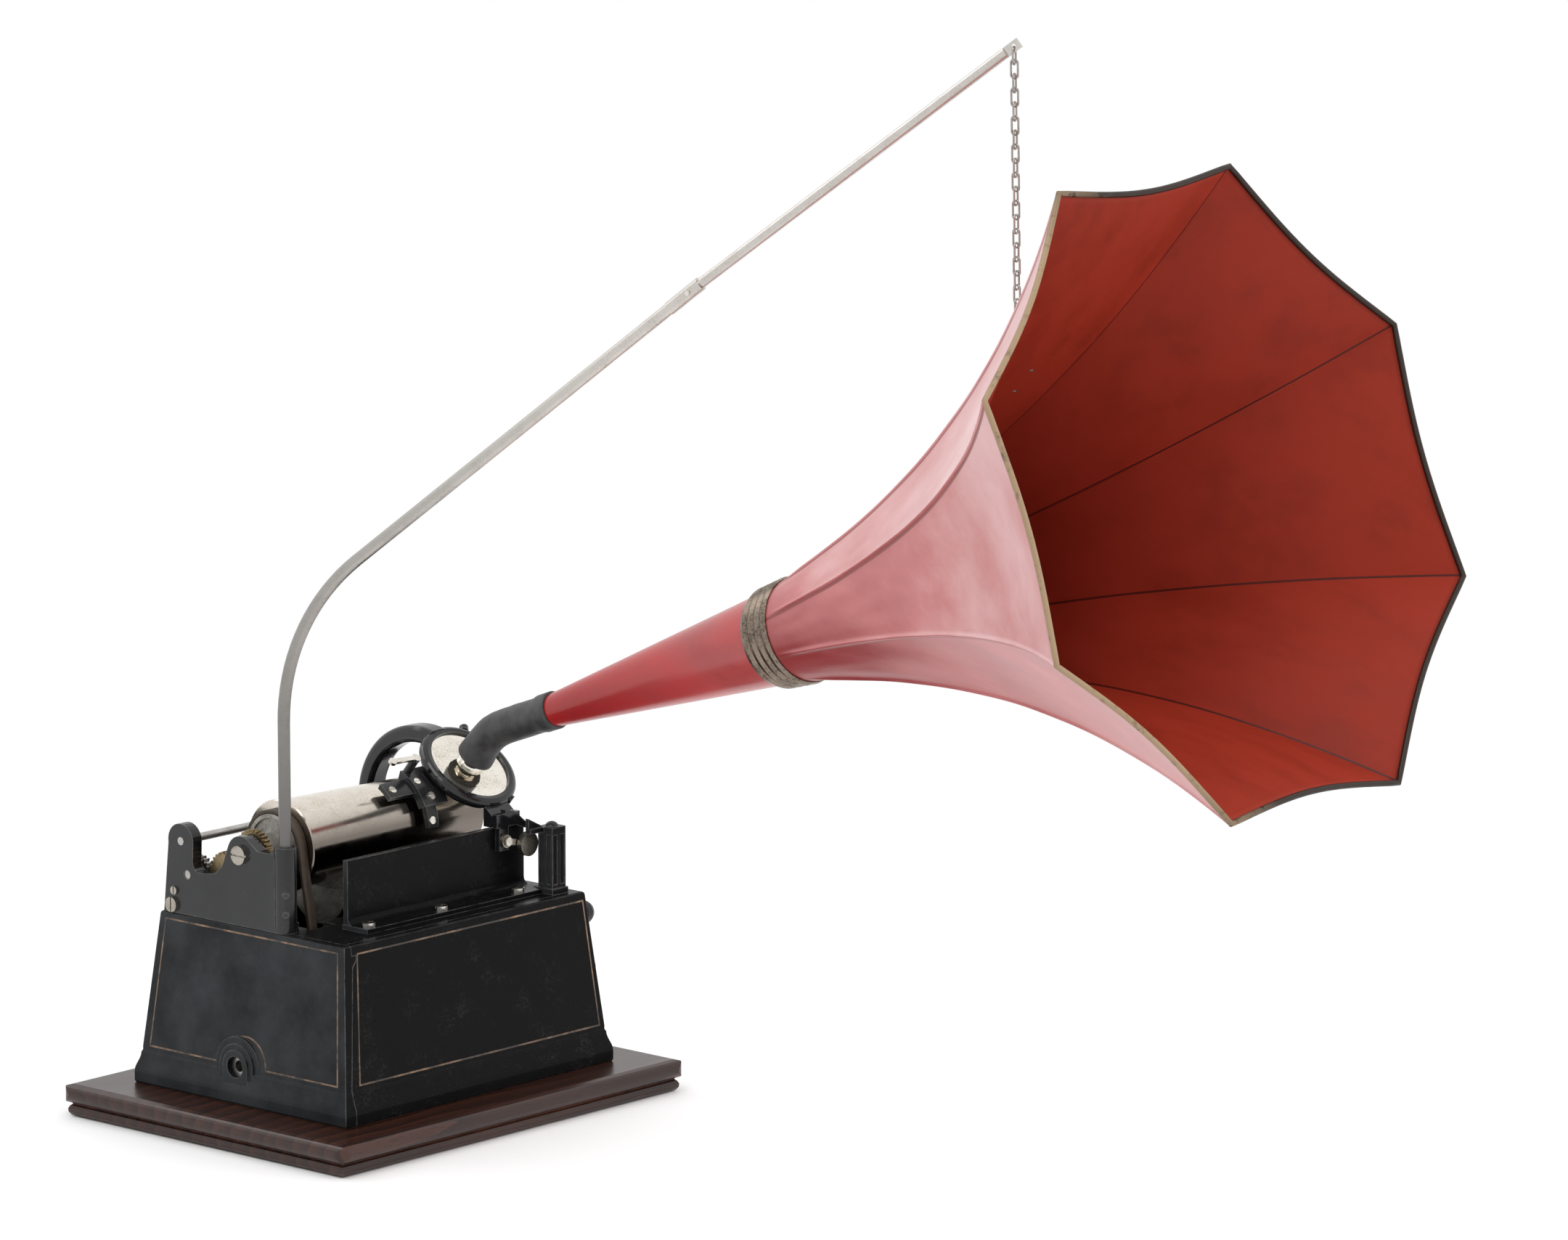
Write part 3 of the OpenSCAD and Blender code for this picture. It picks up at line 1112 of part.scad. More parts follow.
// Flare of the bell over its corners, close to an exponential that runs ahead by flare_lead
bell_start = band_end - lap;
flare_lead = 0.1675;
function flare(z) = let (u = (z - band_end) / (horn_len - band_end))
    z < band_end ? neck_r(z) + 0.1 : (neck_r(band_end) + 0.1)
    * exp(ln(bell_r / (neck_r(band_end) + 0.1)) * ((1 + flare_lead) * u - flare_lead * u * u));
// Share by which a panel's middle lies inside the circle through its corners
function panel_dip(z) = let (u = max(0, (z - band_end) / (horn_len - band_end)))
    (1 - cos(180 / panels)) * min(1, 2.2 * u) + rim_sag * u * u;
function across(k) = let (steps = [-22.5, -21.6, -12, 0, 12, 21.6]) steps[k];
function panel_r(z, a, grow) = flare(z) * (1 - panel_dip(z) * (1 - (a / 22.5) * (a / 22.5))) + grow;
bell_cols = panels * 6;
bell_rows = 15;
function bell_z(i) = i == 0 ? bell_start : band_end + (horn_len - band_end) * (i - 1) / (bell_rows - 1);
function bell_ring(z, grow, seam) = [for (p = [0:panels - 1]) for (k = [0:5])
    let (a = across(k), r = panel_r(z, a, grow) + (k == 0 && z > band_end ? seam : 0), t = 45 * p + 90 + a)
    [r * cos(t), r * sin(t), z]];
module tube_mesh(outer, inner, cols) {
    rows = len(outer) / cols;
    n = len(outer);
    faces = concat(
        [for (i = [0:rows - 2]) for (j = [0:cols - 1]) let (a = i * cols + j, b = i * cols + (j + 1) % cols)
            [a, a + cols, b]],
        [for (i = [0:rows - 2]) for (j = [0:cols - 1]) let (a = i * cols + j, b = i * cols + (j + 1) % cols)
            [b, a + cols, b + cols]],
        [for (i = [0:rows - 2]) for (j = [0:cols - 1])
            let (a = n + i * cols + j, b = n + i * cols + (j + 1) % cols) [a, b, a + cols]],
        [for (i = [0:rows - 2]) for (j = [0:cols - 1])
            let (a = n + i * cols + j, b = n + i * cols + (j + 1) % cols) [b, b + cols, a + cols]],
        [for (j = [0:cols - 1]) let (k = (j + 1) % cols) [j, k, n + j]],
        [for (j = [0:cols - 1]) let (k = (j + 1) % cols) [k, n + k, n + j]],
        [for (j = [0:cols - 1]) let (k = (j + 1) % cols, e = n - cols) [e + j, n + e + j, e + k]],
        [for (j = [0:cols - 1]) let (k = (j + 1) % cols, e = n - cols) [e + k, n + e + j, n + e + k]]);
    polyhedron(points = concat(outer, inner), faces = faces, convexity = 10);
}
module horn_bell() {
    outer = [for (i = [0:bell_rows]) for (p = bell_ring(bell_z(i), horn_sheet, 0.7)) p];
    inner = [for (i = [0:bell_rows]) for (p = bell_ring(bell_z(i), 0, 0)) p];
    color([0.62, 0.09, 0.07]) at_horn() tube_mesh(outer, inner, bell_cols);
}
module horn_rim_bead() {
    outer = concat(bell_ring(horn_len, 1.2, 0.9), bell_ring(horn_len + 2, 1.2, 0.9));
    inner = concat(bell_ring(horn_len, -0.4, 0), bell_ring(horn_len + 2, -0.4, 0));
    color([0.55, 0.42, 0.25]) at_horn() tube_mesh(outer, inner, bell_cols);
}
eyelet_z = eyelet_share * horn_len;
eyelet_base = panel_r(eyelet_z, 0, horn_sheet);
eyelet_len = 14;
eyelet_h = 6.5;
eyelet_wire = 0.8;
module horn_eyelet() {
    color([0.5, 0.42, 0.3]) at_horn() {
        for (z = [eyelet_z - eyelet_len / 2, eyelet_z + eyelet_len / 2])
            translate([0, panel_r(z, 0, 0) + 0.3, z]) rotate([-90, 0, 0]) {
                cylinder(r = eyelet_wire, h = eyelet_base + eyelet_h - panel_r(z, 0, 0) - 0.3, $fn = 24);
                cylinder(r = 2.2, h = 1.3, $fn = 24);
            }
        translate([0, eyelet_base + eyelet_h, eyelet_z - eyelet_len / 2 - eyelet_wire])
            cylinder(r = eyelet_wire, h = eyelet_len + 2 * eyelet_wire, $fn = 24);
    }
}

// Crane: lower rod with one long bend, a joint, and a slimmer upper rod
module in_crane_plane() {
    translate([socket_x, socket_y, 0]) rotate([90, 0, -90 + crane_heading()]) children();
}
crane_joint = [crane_joint_reach, crane_joint_z()];
crane_tip = [crane_tip_reach, crane_tip_z()];
ferrule_len = 22;
ferrule_wall = 0.35;
// Distance from the bend's end to the joint
crane_arm_len = norm(crane_joint - crane_bend_end());
crane_step = 0.03;
spigot_r = crane_upper_r - 0.4;
module crane_rod() {
    color([0.80, 0.80, 0.78]) in_crane_plane() {
        translate([0, crane_foot_z + run, 0]) rotate([-90, 0, 0])
            cylinder(r = crane_r - crane_step, h = deck_z + crane_upright - crane_foot_z - run + 1,
                $fn = round_fn);
        translate([crane_bend_r, deck_z + crane_upright, 0]) rotate([0, 0, 180 - crane_turn])
            rotate_extrude(angle = crane_turn, $fn = 128) translate([crane_bend_r, 0])
            circle(r = crane_r, $fn = round_fn);
        translate([crane_bend_end()[0], crane_bend_end()[1], 0]) rotate([0, 90, crane_slope]) difference() {
            union() {
                translate([0, 0, -1]) cylinder(r = crane_r - crane_step, h = crane_arm_len - ferrule_len + 2,
                    $fn = round_fn);
                translate([0, 0, crane_arm_len - ferrule_len])
                    cylinder(r = crane_r + ferrule_wall, h = ferrule_len - 1, $fn = round_fn);
            }
            translate([0, 0, crane_arm_len - 15]) cylinder(r = spigot_r + 0.02, h = 20, $fn = 32);
        }
    }
}
// The tip is flattened and drilled for the chain
tip_flat = 2.2;
tip_hole_r = 1.3;
module crane_upper_rod() {
    reach = norm(crane_tip - crane_joint);
    color([0.80, 0.80, 0.78]) in_crane_plane() translate([crane_joint[0], crane_joint[1], 0]) {
        rotate([0, 90, upper_slope]) difference() {
            cylinder(r = crane_upper_r, h = reach + 3.2, $fn = round_fn);
            for (s = [-1, 1]) translate([s * (tip_flat / 2 + 5) - 5, -5, reach - 5]) cube([10, 10, 12]);
            translate([0, 0, reach]) rotate([0, 90, 0])
                cylinder(r = tip_hole_r, h = 20, center = true, $fn = 24);
        }
        rotate([0, 90, crane_slope]) translate([0, 0, -14]) cylinder(r = spigot_r, h = 14.2, $fn = 32);
    }
}
module crane_joint_pin() {
    color([0.7, 0.68, 0.62]) in_crane_plane() translate([crane_joint[0], crane_joint[1], 0])
        rotate([0, 90, crane_slope]) translate([0, 0, -8]) rotate([0, -90, 0])
        translate([0, 0, crane_r + ferrule_wall]) cylinder(r = 1.2, h = 1.4, $fn = 24);
}

// Chain of oval links, each turned a quarter from the last, hung from the crane's tip
link_pitch = 6.7;
link_half_w = 1.75;
eyelet_top = [horn_y, horn_z] + horn_dir * eyelet_z
    + [sin(horn_rise), cos(horn_rise)] * (eyelet_base + eyelet_h);
chain_from = [chain_tip[1], chain_tip[2]];
chain_len = norm(eyelet_top - chain_from);
chain_lean = atan2(chain_from[0] - eyelet_top[0], chain_from[1] - eyelet_top[1]);
// The top link runs through the tip's hole, the bottom one hooks under the eyelet's bar
top_half_w = 2.1;
hook_inner = 9;
hook_half_w = 2.4;
chain_first = 7.4;
module link(z_top, inner, half_w, wire) {
    straight = inner / 2 - half_w + wire;
    translate([0, 0, z_top - inner / 2]) {
        for (s = [-1, 1]) {
            translate([s * half_w, 0, -straight - 0.2])
                cylinder(r = wire - 0.02, h = 2 * straight + 0.4, $fn = 24);
            translate([0, 0, s * straight]) rotate([90, 0, 0]) rotate([0, 0, s > 0 ? 0 : 180])
                rotate_extrude(angle = 180, $fn = 48) translate([half_w, 0]) circle(r = wire, $fn = 24);
        }
    }
}
module chain() {
    w = link_wire_r;
    count = 2 * floor((chain_len - chain_first - hook_inner + 3.2) / link_pitch / 2) + 1;
    pitch = (chain_len - chain_first - hook_inner + 3.2) / count;
    color([0.35, 0.33, 0.30]) translate(chain_tip) rotate([-chain_lean, 0, 0]) {
        rotate([0, 0, crane_heading()]) link(-0.2 - w, chain_first, top_half_w, w);
        for (k = [0:count - 1]) translate([0, 0, -chain_first - w - 0.1 - k * pitch])
            rotate([0, 0, crane_heading() * (count - 1 - k) / count + (k % 2 == 0 ? 90 : 0)])
            link(2 * w - 0.05, pitch + 2 * w, link_half_w, w);
        translate([0, 0, -chain_first - w - 0.1 - count * pitch])
            link(2 * w - 0.05, hook_inner, hook_half_w, w);
    }
}

base_board();
board_screws();
case_shell();
case_left_wall();
bedplate();
left_bracket();
bracket_screws();
crane_set_screws();
right_standard();
standard_screws();
back_rod();
front_plate();
plate_screws();
end_post();
end_post_screw();
chip_tray();
mandrel_arbor();
arbor_end_nut();
idler_stud();
drive_belt();
motor_plates();
motor_pillars();
brake_arm();
mandrel_shell();
mandrel_pulley();
mandrel_gear();
idler_gear();
feed_screw();
winding_arbor();
winding_wheel();
spring_barrel();
mainspring();
train_arbor();
drive_shaft();
governor_spindle();
governor_weights();
stop_knob();
speed_screw();
carriage_sleeve();
carriage_arm();
half_nut();
shaver_block();
shaver_screws();
shaver_lever();
ring_clamp_screw();
lift_lever();
lift_lever_pin();
reproducer_body();
diaphragm();
floating_weight();
horn_elbow();
horn_neck();
horn_band();
horn_bell();
horn_rim_bead();
horn_eyelet();
crane_rod();
crane_upper_rod();
crane_joint_pin();
chain();
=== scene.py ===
"""Looks of the cylinder phonograph: materials, detailed pieces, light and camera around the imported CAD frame.

Metres throughout, in the CAD's frame: origin under the board's centre, +X along the mandrel, +Y back, +Z up.
"""

import json
import math

import bpy
from mathutils import Matrix, Vector, noise


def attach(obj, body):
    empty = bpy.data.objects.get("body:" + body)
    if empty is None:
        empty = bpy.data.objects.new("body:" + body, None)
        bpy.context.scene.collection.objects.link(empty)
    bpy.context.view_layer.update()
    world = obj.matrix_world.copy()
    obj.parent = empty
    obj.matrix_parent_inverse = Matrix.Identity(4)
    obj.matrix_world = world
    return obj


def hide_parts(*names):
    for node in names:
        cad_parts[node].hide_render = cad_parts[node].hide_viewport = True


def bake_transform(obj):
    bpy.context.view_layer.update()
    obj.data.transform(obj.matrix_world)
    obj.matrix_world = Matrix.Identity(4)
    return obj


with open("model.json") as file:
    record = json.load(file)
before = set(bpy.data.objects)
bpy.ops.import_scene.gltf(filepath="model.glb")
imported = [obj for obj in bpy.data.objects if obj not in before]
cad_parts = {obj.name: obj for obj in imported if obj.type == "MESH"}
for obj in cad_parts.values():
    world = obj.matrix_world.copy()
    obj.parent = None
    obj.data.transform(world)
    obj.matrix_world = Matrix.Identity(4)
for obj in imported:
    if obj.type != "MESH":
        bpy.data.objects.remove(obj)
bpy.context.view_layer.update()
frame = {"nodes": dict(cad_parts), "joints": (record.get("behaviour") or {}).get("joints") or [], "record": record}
nodes = frame["nodes"]
joints = {j["name"]: j for j in frame["joints"]}


# Material helpers


class Nodes:
    """Thin wrapper that adds and links shader nodes of one material."""

    def __init__(self, name):
        self.material = bpy.data.materials.new(name)
        self.material.use_nodes = True
        self.tree = self.material.node_tree
        self.shader = self.tree.nodes["Principled BSDF"]
        self.place = None

    def add(self, kind, **settings):
        node = self.tree.nodes.new(kind)
        for key, value in settings.items():
            setattr(node, key, value)
        return node

    def link(self, out, into):
        self.tree.links.new(out, into)

    def position(self):
        """Object coordinates; every object's origin is the frame's, so these are frame metres."""
        if self.place is None:
            self.place = self.add("ShaderNodeTexCoord").outputs["Object"]
        return self.place

    def stretched(self, scale):
        mapping = self.add("ShaderNodeMapping")
        mapping.inputs["Scale"].default_value = scale
        self.link(self.position(), mapping.inputs["Vector"])
        return mapping.outputs["Vector"]

    def noise(self, scale, detail, rough, stretch=None):
        node = self.add("ShaderNodeTexNoise")
        node.inputs["Scale"].default_value = scale
        node.inputs["Detail"].default_value = detail
        node.inputs["Roughness"].default_value = rough
        self.link(self.stretched(stretch) if stretch else self.position(), node.inputs["Vector"])
        return node.outputs["Fac"]

    def ramp(self, fac, stops):
        """stops are (place, value or colour) pairs."""
        node = self.add("ShaderNodeValToRGB")
        elements = node.color_ramp.elements
        while len(elements) < len(stops):
            elements.new(0.5)
        for element, (at, value) in zip(elements, stops):
            element.position = at
            colour = (value,) * 3 if isinstance(value, (int, float)) else value
            element.color = (*colour[:3], 1.0)
        self.link(fac, node.inputs["Fac"])
        return node.outputs["Color"]

    def mix(self, fac, a, b, blend="MIX"):
        node = self.add("ShaderNodeMix", data_type="RGBA", blend_type=blend)
        for socket, value in ((node.inputs[0], fac), (node.inputs[6], a), (node.inputs[7], b)):
            if hasattr(value, "is_linked"):
                self.link(value, socket)
            elif isinstance(value, (int, float)):
                socket.default_value = value
            else:
                socket.default_value = (*value[:3], 1.0)
        return node.outputs[2]

    def math(self, operation, a, b=0.0, clamp=False):
        node = self.add("ShaderNodeMath", operation=operation, use_clamp=clamp)
        for socket, value in zip(node.inputs, (a, b)):
            if hasattr(value, "is_linked"):
                self.link(value, socket)
            else:
                socket.default_value = value
        return node.outputs[0]

    def axis(self, letter):
        node = self.add("ShaderNodeSeparateXYZ")
        self.link(self.position(), node.inputs[0])
        return node.outputs[letter]

    def along(self, letter, low, high):
        """0 to 1 along an axis, between two places on it."""
        node = self.add("ShaderNodeMapRange", clamp=True)
        node.inputs["From Min"].default_value, node.inputs["From Max"].default_value = low, high
        self.link(self.axis(letter), node.inputs["Value"])
        return node.outputs["Result"]

    def swing(self, fac, size):
        """A noise about 0, up to half its size either way."""
        return self.math("MULTIPLY", self.math("SUBTRACT", fac, 0.5), size)

    def facing(self, direction, low, high):
        """1 where the surface faces a direction, falling to 0."""
        node = self.add("ShaderNodeVectorMath", operation="DOT_PRODUCT")
        self.link(self.add("ShaderNodeNewGeometry").outputs["Normal"], node.inputs[0])
        node.inputs[1].default_value = direction
        fade = self.add("ShaderNodeMapRange", clamp=True, interpolation_type="SMOOTHSTEP")
        fade.inputs["From Min"].default_value, fade.inputs["From Max"].default_value = low, high
        self.link(node.outputs["Value"], fade.inputs["Value"])
        return fade.outputs["Result"]

    def edges(self, radius):
        """1 along the sharp edges of the mesh, 0 on its faces."""
        bevel = self.add("ShaderNodeBevel")
        bevel.samples = 6
        bevel.inputs["Radius"].default_value = radius
        node = self.add("ShaderNodeVectorMath", operation="DOT_PRODUCT")
        self.link(bevel.outputs["Normal"], node.inputs[0])
        self.link(self.add("ShaderNodeNewGeometry").outputs["Normal"], node.inputs[1])
        return self.ramp(self.math("SUBTRACT", 1.0, node.outputs["Value"]), [(0.03, 0.0), (0.22, 1.0)])

    def bump(self, height, depth, strength, under=None):
        node = self.add("ShaderNodeBump")
        node.inputs["Strength"].default_value = strength
        node.inputs["Distance"].default_value = depth
        self.link(height, node.inputs["Height"])
        if under is not None:
            self.link(under, node.inputs["Normal"])
        return node.outputs["Normal"]

    def finish(self, colour=None, rough=None, normal=None, **sockets):
        for key, value in (("Base Color", colour), ("Roughness", rough), ("Normal", normal)):
            if value is None:
                continue
            if hasattr(value, "is_linked"):
                self.link(value, self.shader.inputs[key])
            elif key == "Base Color":
                self.shader.inputs[key].default_value = (*value[:3], 1.0)
            else:
                self.shader.inputs[key].default_value = value
        for key, value in sockets.items():
            self.shader.inputs[key.replace("_", " ")].default_value = value
        return self.material


def plated(name, colour, spots, rough, wear=0.5, grain=(0.25, 1.0, 1.0), scratch_depth=1.0, painted_shade_below=None):
    """Plated or plain metal: cloudy tarnish, small spots and fine scratches.

    The optional last argument is (low, high, colour): below these heights the metal turns to that colour, a
    painted shade standing for the dark surroundings that the lower metal reflects.
    """
    n = Nodes(name)
    cloud = n.noise(90, 5, 0.6)
    speck = n.noise(900, 3, 0.6)
    mask = n.ramp(n.math("MULTIPLY", cloud, speck), [(0.20, 0.0), (0.20 + 0.25 / wear, 1.0)])
    base = n.mix(mask, colour, spots)
    # Painted shade: darker towards the bottom, in place of a reflected dark surround
    if painted_shade_below:
        low, high, dark = painted_shade_below
        base = n.mix(n.along("Z", low, high), dark, base)
    roughness = n.ramp(cloud, [(0.35, rough * 0.75), (0.7, min(1.0, rough * 1.5))])
    scratch = n.noise(1400, 2, 0.5, stretch=grain)
    normal = n.bump(scratch, 0.00002, 0.5 * scratch_depth)
    return n.finish(base, roughness, normal, Metallic=1.0)


def japan(name, colour=(0.0045, 0.0045, 0.0050), left_sheen=(0.042, 0.045, 0.049),
          rough=0.24, lumps=0.00005, gloss=0.07):
    """Old black enamel on iron: a cloudy sheen painted pale on the left-facing side, where more light falls, and
    edges painted pale, partly rubbed paint and partly a painted highlight.
    """
    n = Nodes(name)
    cloud = n.noise(26, 6, 0.62)
    fine = n.noise(700, 3, 0.6)
    # Painted light: the left-facing side is painted paler in clouds, as a sheen where it is lit and reflects more
    left_side = n.facing((-1.0, 0.0, 0.12), 0.55, 0.98)
    painted_sheen_mask = n.math("MULTIPLY", left_side, n.ramp(cloud, [(0.30, 0.25), (0.68, 1.0)]))
    base = n.mix(painted_sheen_mask, colour, left_sheen)
    dirt = n.ramp(n.math("MULTIPLY", n.noise(60, 5, 0.6), fine), [(0.30, 0.0), (0.60, 1.0)])
    base = n.mix(dirt, base, (0.030, 0.029, 0.027))
    # Pale edges: partly rubbed paint, partly a painted highlight for light caught on rounded edges
    rubbed_and_lit_edges = n.math("MULTIPLY", n.edges(0.0009), n.ramp(n.noise(120, 5, 0.65), [(0.34, 0.15), (0.60, 1.0)]))
    base = n.mix(n.math("MULTIPLY", rubbed_and_lit_edges, 0.75), base, (0.22, 0.215, 0.205))
    roughness = n.ramp(cloud, [(0.3, rough * 0.7), (0.75, min(1.0, rough * 1.6))])
    normal = n.bump(n.noise(160, 4, 0.6), lumps, 0.6)
    n.shader.inputs["Specular IOR Level"].default_value = gloss
    return n.finish(base, roughness, normal)


def chipped(n, base, scuff):
    """Small chips over a base colour, gathered in patches."""
    chips = n.ramp(n.noise(420, 4, 0.65), [(0.72, 0.0), (0.75, 1.0)])
    patches = n.ramp(n.noise(14, 3, 0.5), [(0.5, 0.0), (0.72, 1.0)])
    return n.mix(n.math("MULTIPLY", chips, patches), base, scuff)


def red_paint(name, near, far, span, scuff, rough=0.35, gloss=0.5):
    """Red enamel that changes along the horn's run to the front, with faint streaks and small chips."""
    n = Nodes(name)
    along = n.along("Y", *span)
    streak = n.noise(48, 5, 0.6, stretch=(1.0, 0.3, 0.7))
    fade = n.math("ADD", along, n.swing(streak, 1.4), clamp=True)
    base = n.mix(fade, near, far)
    darker = n.mix(1.0, base, (0.76, 0.76, 0.76), "MULTIPLY")
    base = n.mix(n.ramp(streak, [(0.35, 1.0), (0.65, 0.0)]), base, darker)
    base = chipped(n, base, scuff)
    roughness = n.ramp(streak, [(0.25, rough * 0.85), (0.8, rough * 1.25)])
    normal = n.bump(n.noise(240, 4, 0.6), 0.00003, 0.5, n.bump(n.noise(22, 2, 0.5), 0.0005, 0.2))
    return n.finish(base, roughness, normal, Specular_IOR_Level=gloss)


def faded_paint_with_sheen(name, deep, faded, pale, span):
    """Red enamel paler towards the bell's edge, partly faded paint and partly a painted reflection, with a painted
    sheen on its upper side where the light falls, and still deep below, as painted shade.
    """
    n = Nodes(name)
    along = n.along("Y", *span)
    streak = n.noise(30, 6, 0.62, stretch=(1.0, 0.25, 0.7))
    broad = n.noise(9, 3, 0.5)
    # Painted light: upward-facing sheet is painted paler, downward-facing stays deep red
    up = n.facing((0.0, 0.25, 0.97), -0.75, 0.75)
    bleach_and_sheen = n.math("ADD", n.math("MULTIPLY", along, 0.50), n.math("MULTIPLY", up, 0.50))
    bleach_and_sheen = n.math("ADD", bleach_and_sheen, n.swing(streak, 0.85))
    bleach_and_sheen = n.math("ADD", bleach_and_sheen, n.swing(broad, 0.5), clamp=True)
    base = n.ramp(bleach_and_sheen, [(0.10, deep), (0.55, faded), (1.0, pale)])
    base = chipped(n, base, (0.22, 0.07, 0.06))
    roughness = n.ramp(streak, [(0.25, 0.26), (0.8, 0.42)])
    normal = n.bump(n.noise(240, 4, 0.6), 0.00003, 0.5, n.bump(n.noise(22, 2, 0.5), 0.0006, 0.25))
    return n.finish(base, roughness, normal, Specular_IOR_Level=0.45)


def mahogany(name):
    """Dark varnished mahogany: brown streaks, pores, redder wood where the edges are rubbed."""
    n = Nodes(name)
    warp = n.noise(16, 3, 0.5, stretch=(0.25, 1.0, 1.0))
    wave = n.add("ShaderNodeTexWave", wave_type="BANDS", bands_direction="Y", wave_profile="SAW")
    wave.inputs["Scale"].default_value = 28
    wave.inputs["Distortion"].default_value = 7
    wave.inputs["Detail"].default_value = 3
    wave.inputs["Detail Scale"].default_value = 1.2
    n.link(n.stretched((0.22, 1.0, 1.4)), wave.inputs["Vector"])
    pores = n.noise(1500, 2, 0.6, stretch=(0.05, 1.0, 1.0))
    base = n.mix(wave.outputs["Fac"], (0.016, 0.006, 0.004), (0.055, 0.018, 0.010))
    base = n.mix(n.ramp(warp, [(0.35, 0.0), (0.7, 0.6)]), base, (0.022, 0.008, 0.006))
    base = n.mix(n.ramp(pores, [(0.58, 0.0), (0.66, 0.8)]), base, (0.008, 0.004, 0.003))
    rubbed = n.math("MULTIPLY", n.edges(0.0016), n.ramp(n.noise(55, 5, 0.65), [(0.38, 0.0), (0.62, 1.0)]))
    base = n.mix(n.math("MULTIPLY", rubbed, 0.8), base, (0.20, 0.055, 0.028))
    roughness = n.ramp(warp, [(0.3, 0.22), (0.8, 0.36)])
    normal = n.bump(pores, 0.00006, 0.4)
    return n.finish(base, roughness, normal, Specular_IOR_Level=0.45)


def rim_gilt(name):
    """Gilt and brown-black on the bell's rim: gilt in patchy runs where X is low, brown-black where X is high."""
    n = Nodes(name)
    wear = n.noise(160, 5, 0.65)
    right = n.along("X", -0.03, 0.03)
    left = n.math("SUBTRACT", n.ramp(wear, [(0.30, 0.35), (0.46, 1.0)]), right, clamp=True)
    base = n.mix(left, (0.026, 0.016, 0.011), (0.34, 0.235, 0.14))
    return n.finish(base, n.ramp(wear, [(0.3, 0.35), (0.8, 0.55)]), Metallic=0.3)


def pinstripe_paint(name):
    """Hand-painted gilt line, rubbed thin in places so that the black shows."""
    n = Nodes(name)
    left = n.ramp(n.noise(70, 6, 0.7), [(0.44, 0.0), (0.64, 1.0)])
    base = n.mix(left, (0.035, 0.026, 0.020), (0.26, 0.16, 0.095))
    return n.finish(base, 0.45)


def rubber(name):
    """Perished black rubber, greyed in clouds."""
    n = Nodes(name)
    cloud = n.noise(120, 5, 0.6)
    base = n.mix(n.ramp(cloud, [(0.35, 0.0), (0.75, 1.0)]), (0.028, 0.028, 0.030), (0.075, 0.074, 0.075))
    normal = n.bump(n.noise(900, 3, 0.6), 0.00006, 0.6)
    return n.finish(base, n.ramp(cloud, [(0.3, 0.42), (0.8, 0.6)]), normal)


def leather(name):
    """Oiled dark leather with a fine grain."""
    n = Nodes(name)
    cloud = n.noise(220, 5, 0.6)
    cells = n.add("ShaderNodeTexVoronoi")
    cells.inputs["Scale"].default_value = 1500
    n.link(n.position(), cells.inputs["Vector"])
    base = n.mix(cloud, (0.022, 0.014, 0.010), (0.085, 0.058, 0.040))
    normal = n.bump(cells.outputs["Distance"], 0.00012, 0.5)
    return n.finish(base, n.ramp(cloud, [(0.3, 0.45), (0.8, 0.7)]), normal)


def dress(node, material):
    """Gives a carried-over CAD node its material."""
    slots = nodes[node].data.materials
    slots.clear()
    slots.append(material)


# Materials

NICKEL = plated("nickel", (0.80, 0.77, 0.71), (0.42, 0.36, 0.27), 0.20)
POLISHED = plated("polished_nickel", (0.86, 0.82, 0.74), (0.45, 0.38, 0.30), 0.07, wear=0.7)
# Painted shade: the crane rod is darker low down, standing for the dark surroundings its lower upright reflects
CRANE_NICKEL = plated("crane_nickel", (0.62, 0.59, 0.55), (0.40, 0.37, 0.33), 0.24, grain=(1.0, 1.0, 1.0),
                      scratch_depth=0.3, painted_shade_below=(0.15, 0.42, (0.16, 0.155, 0.15)))
CHAIN_NICKEL = plated("chain_nickel", (0.42, 0.38, 0.35), (0.18, 0.15, 0.13), 0.30)
AGED_NICKEL = plated("aged_nickel", (0.44, 0.41, 0.36), (0.20, 0.17, 0.13), 0.34, wear=1.0)
STEEL = plated("steel", (0.50, 0.49, 0.47), (0.22, 0.19, 0.16), 0.34)
SPRING_STEEL = plated("spring_steel", (0.25, 0.27, 0.33), (0.12, 0.12, 0.14), 0.3)
GREY_PLATE = plated("grey_plate", (0.42, 0.41, 0.38), (0.20, 0.18, 0.15), 0.5, wear=1.0)
# Painted shade: a dark band low on the mandrel, standing for its reflection of the dark front plate
MANDREL_NICKEL = plated("mandrel_nickel", (0.76, 0.70, 0.62), (0.50, 0.42, 0.32), 0.16, wear=0.7,
                        grain=(1.0, 0.15, 0.15), painted_shade_below=(0.148, 0.163, (0.20, 0.175, 0.15)))
GEAR_BRASS = plated("gear_brass", (0.33, 0.26, 0.15), (0.14, 0.10, 0.05), 0.38, wear=0.9)
COPPER_BRASS = plated("copper_brass", (0.60, 0.29, 0.19), (0.30, 0.14, 0.08), 0.33)
BAND_PLATE = plated("tarnished_band", (0.27, 0.215, 0.17), (0.08, 0.06, 0.045), 0.34, wear=1.3,
                    grain=(1.0, 1.0, 1.0))
WORN_GILT = plated("worn_gilt", (0.50, 0.38, 0.22), (0.10, 0.08, 0.06), 0.38, wear=1.4)
WIRE = plated("tarnished_wire", (0.20, 0.18, 0.15), (0.08, 0.07, 0.06), 0.4)
JAPAN = japan("black_japan")
GLOSS_JAPAN = japan("gloss_japan", (0.006, 0.006, 0.007), (0.016, 0.017, 0.019), rough=0.13,
                    lumps=0.00003, gloss=0.5)
BLACK_STEEL = japan("black_steel", (0.012, 0.012, 0.013), rough=0.22, gloss=0.35)
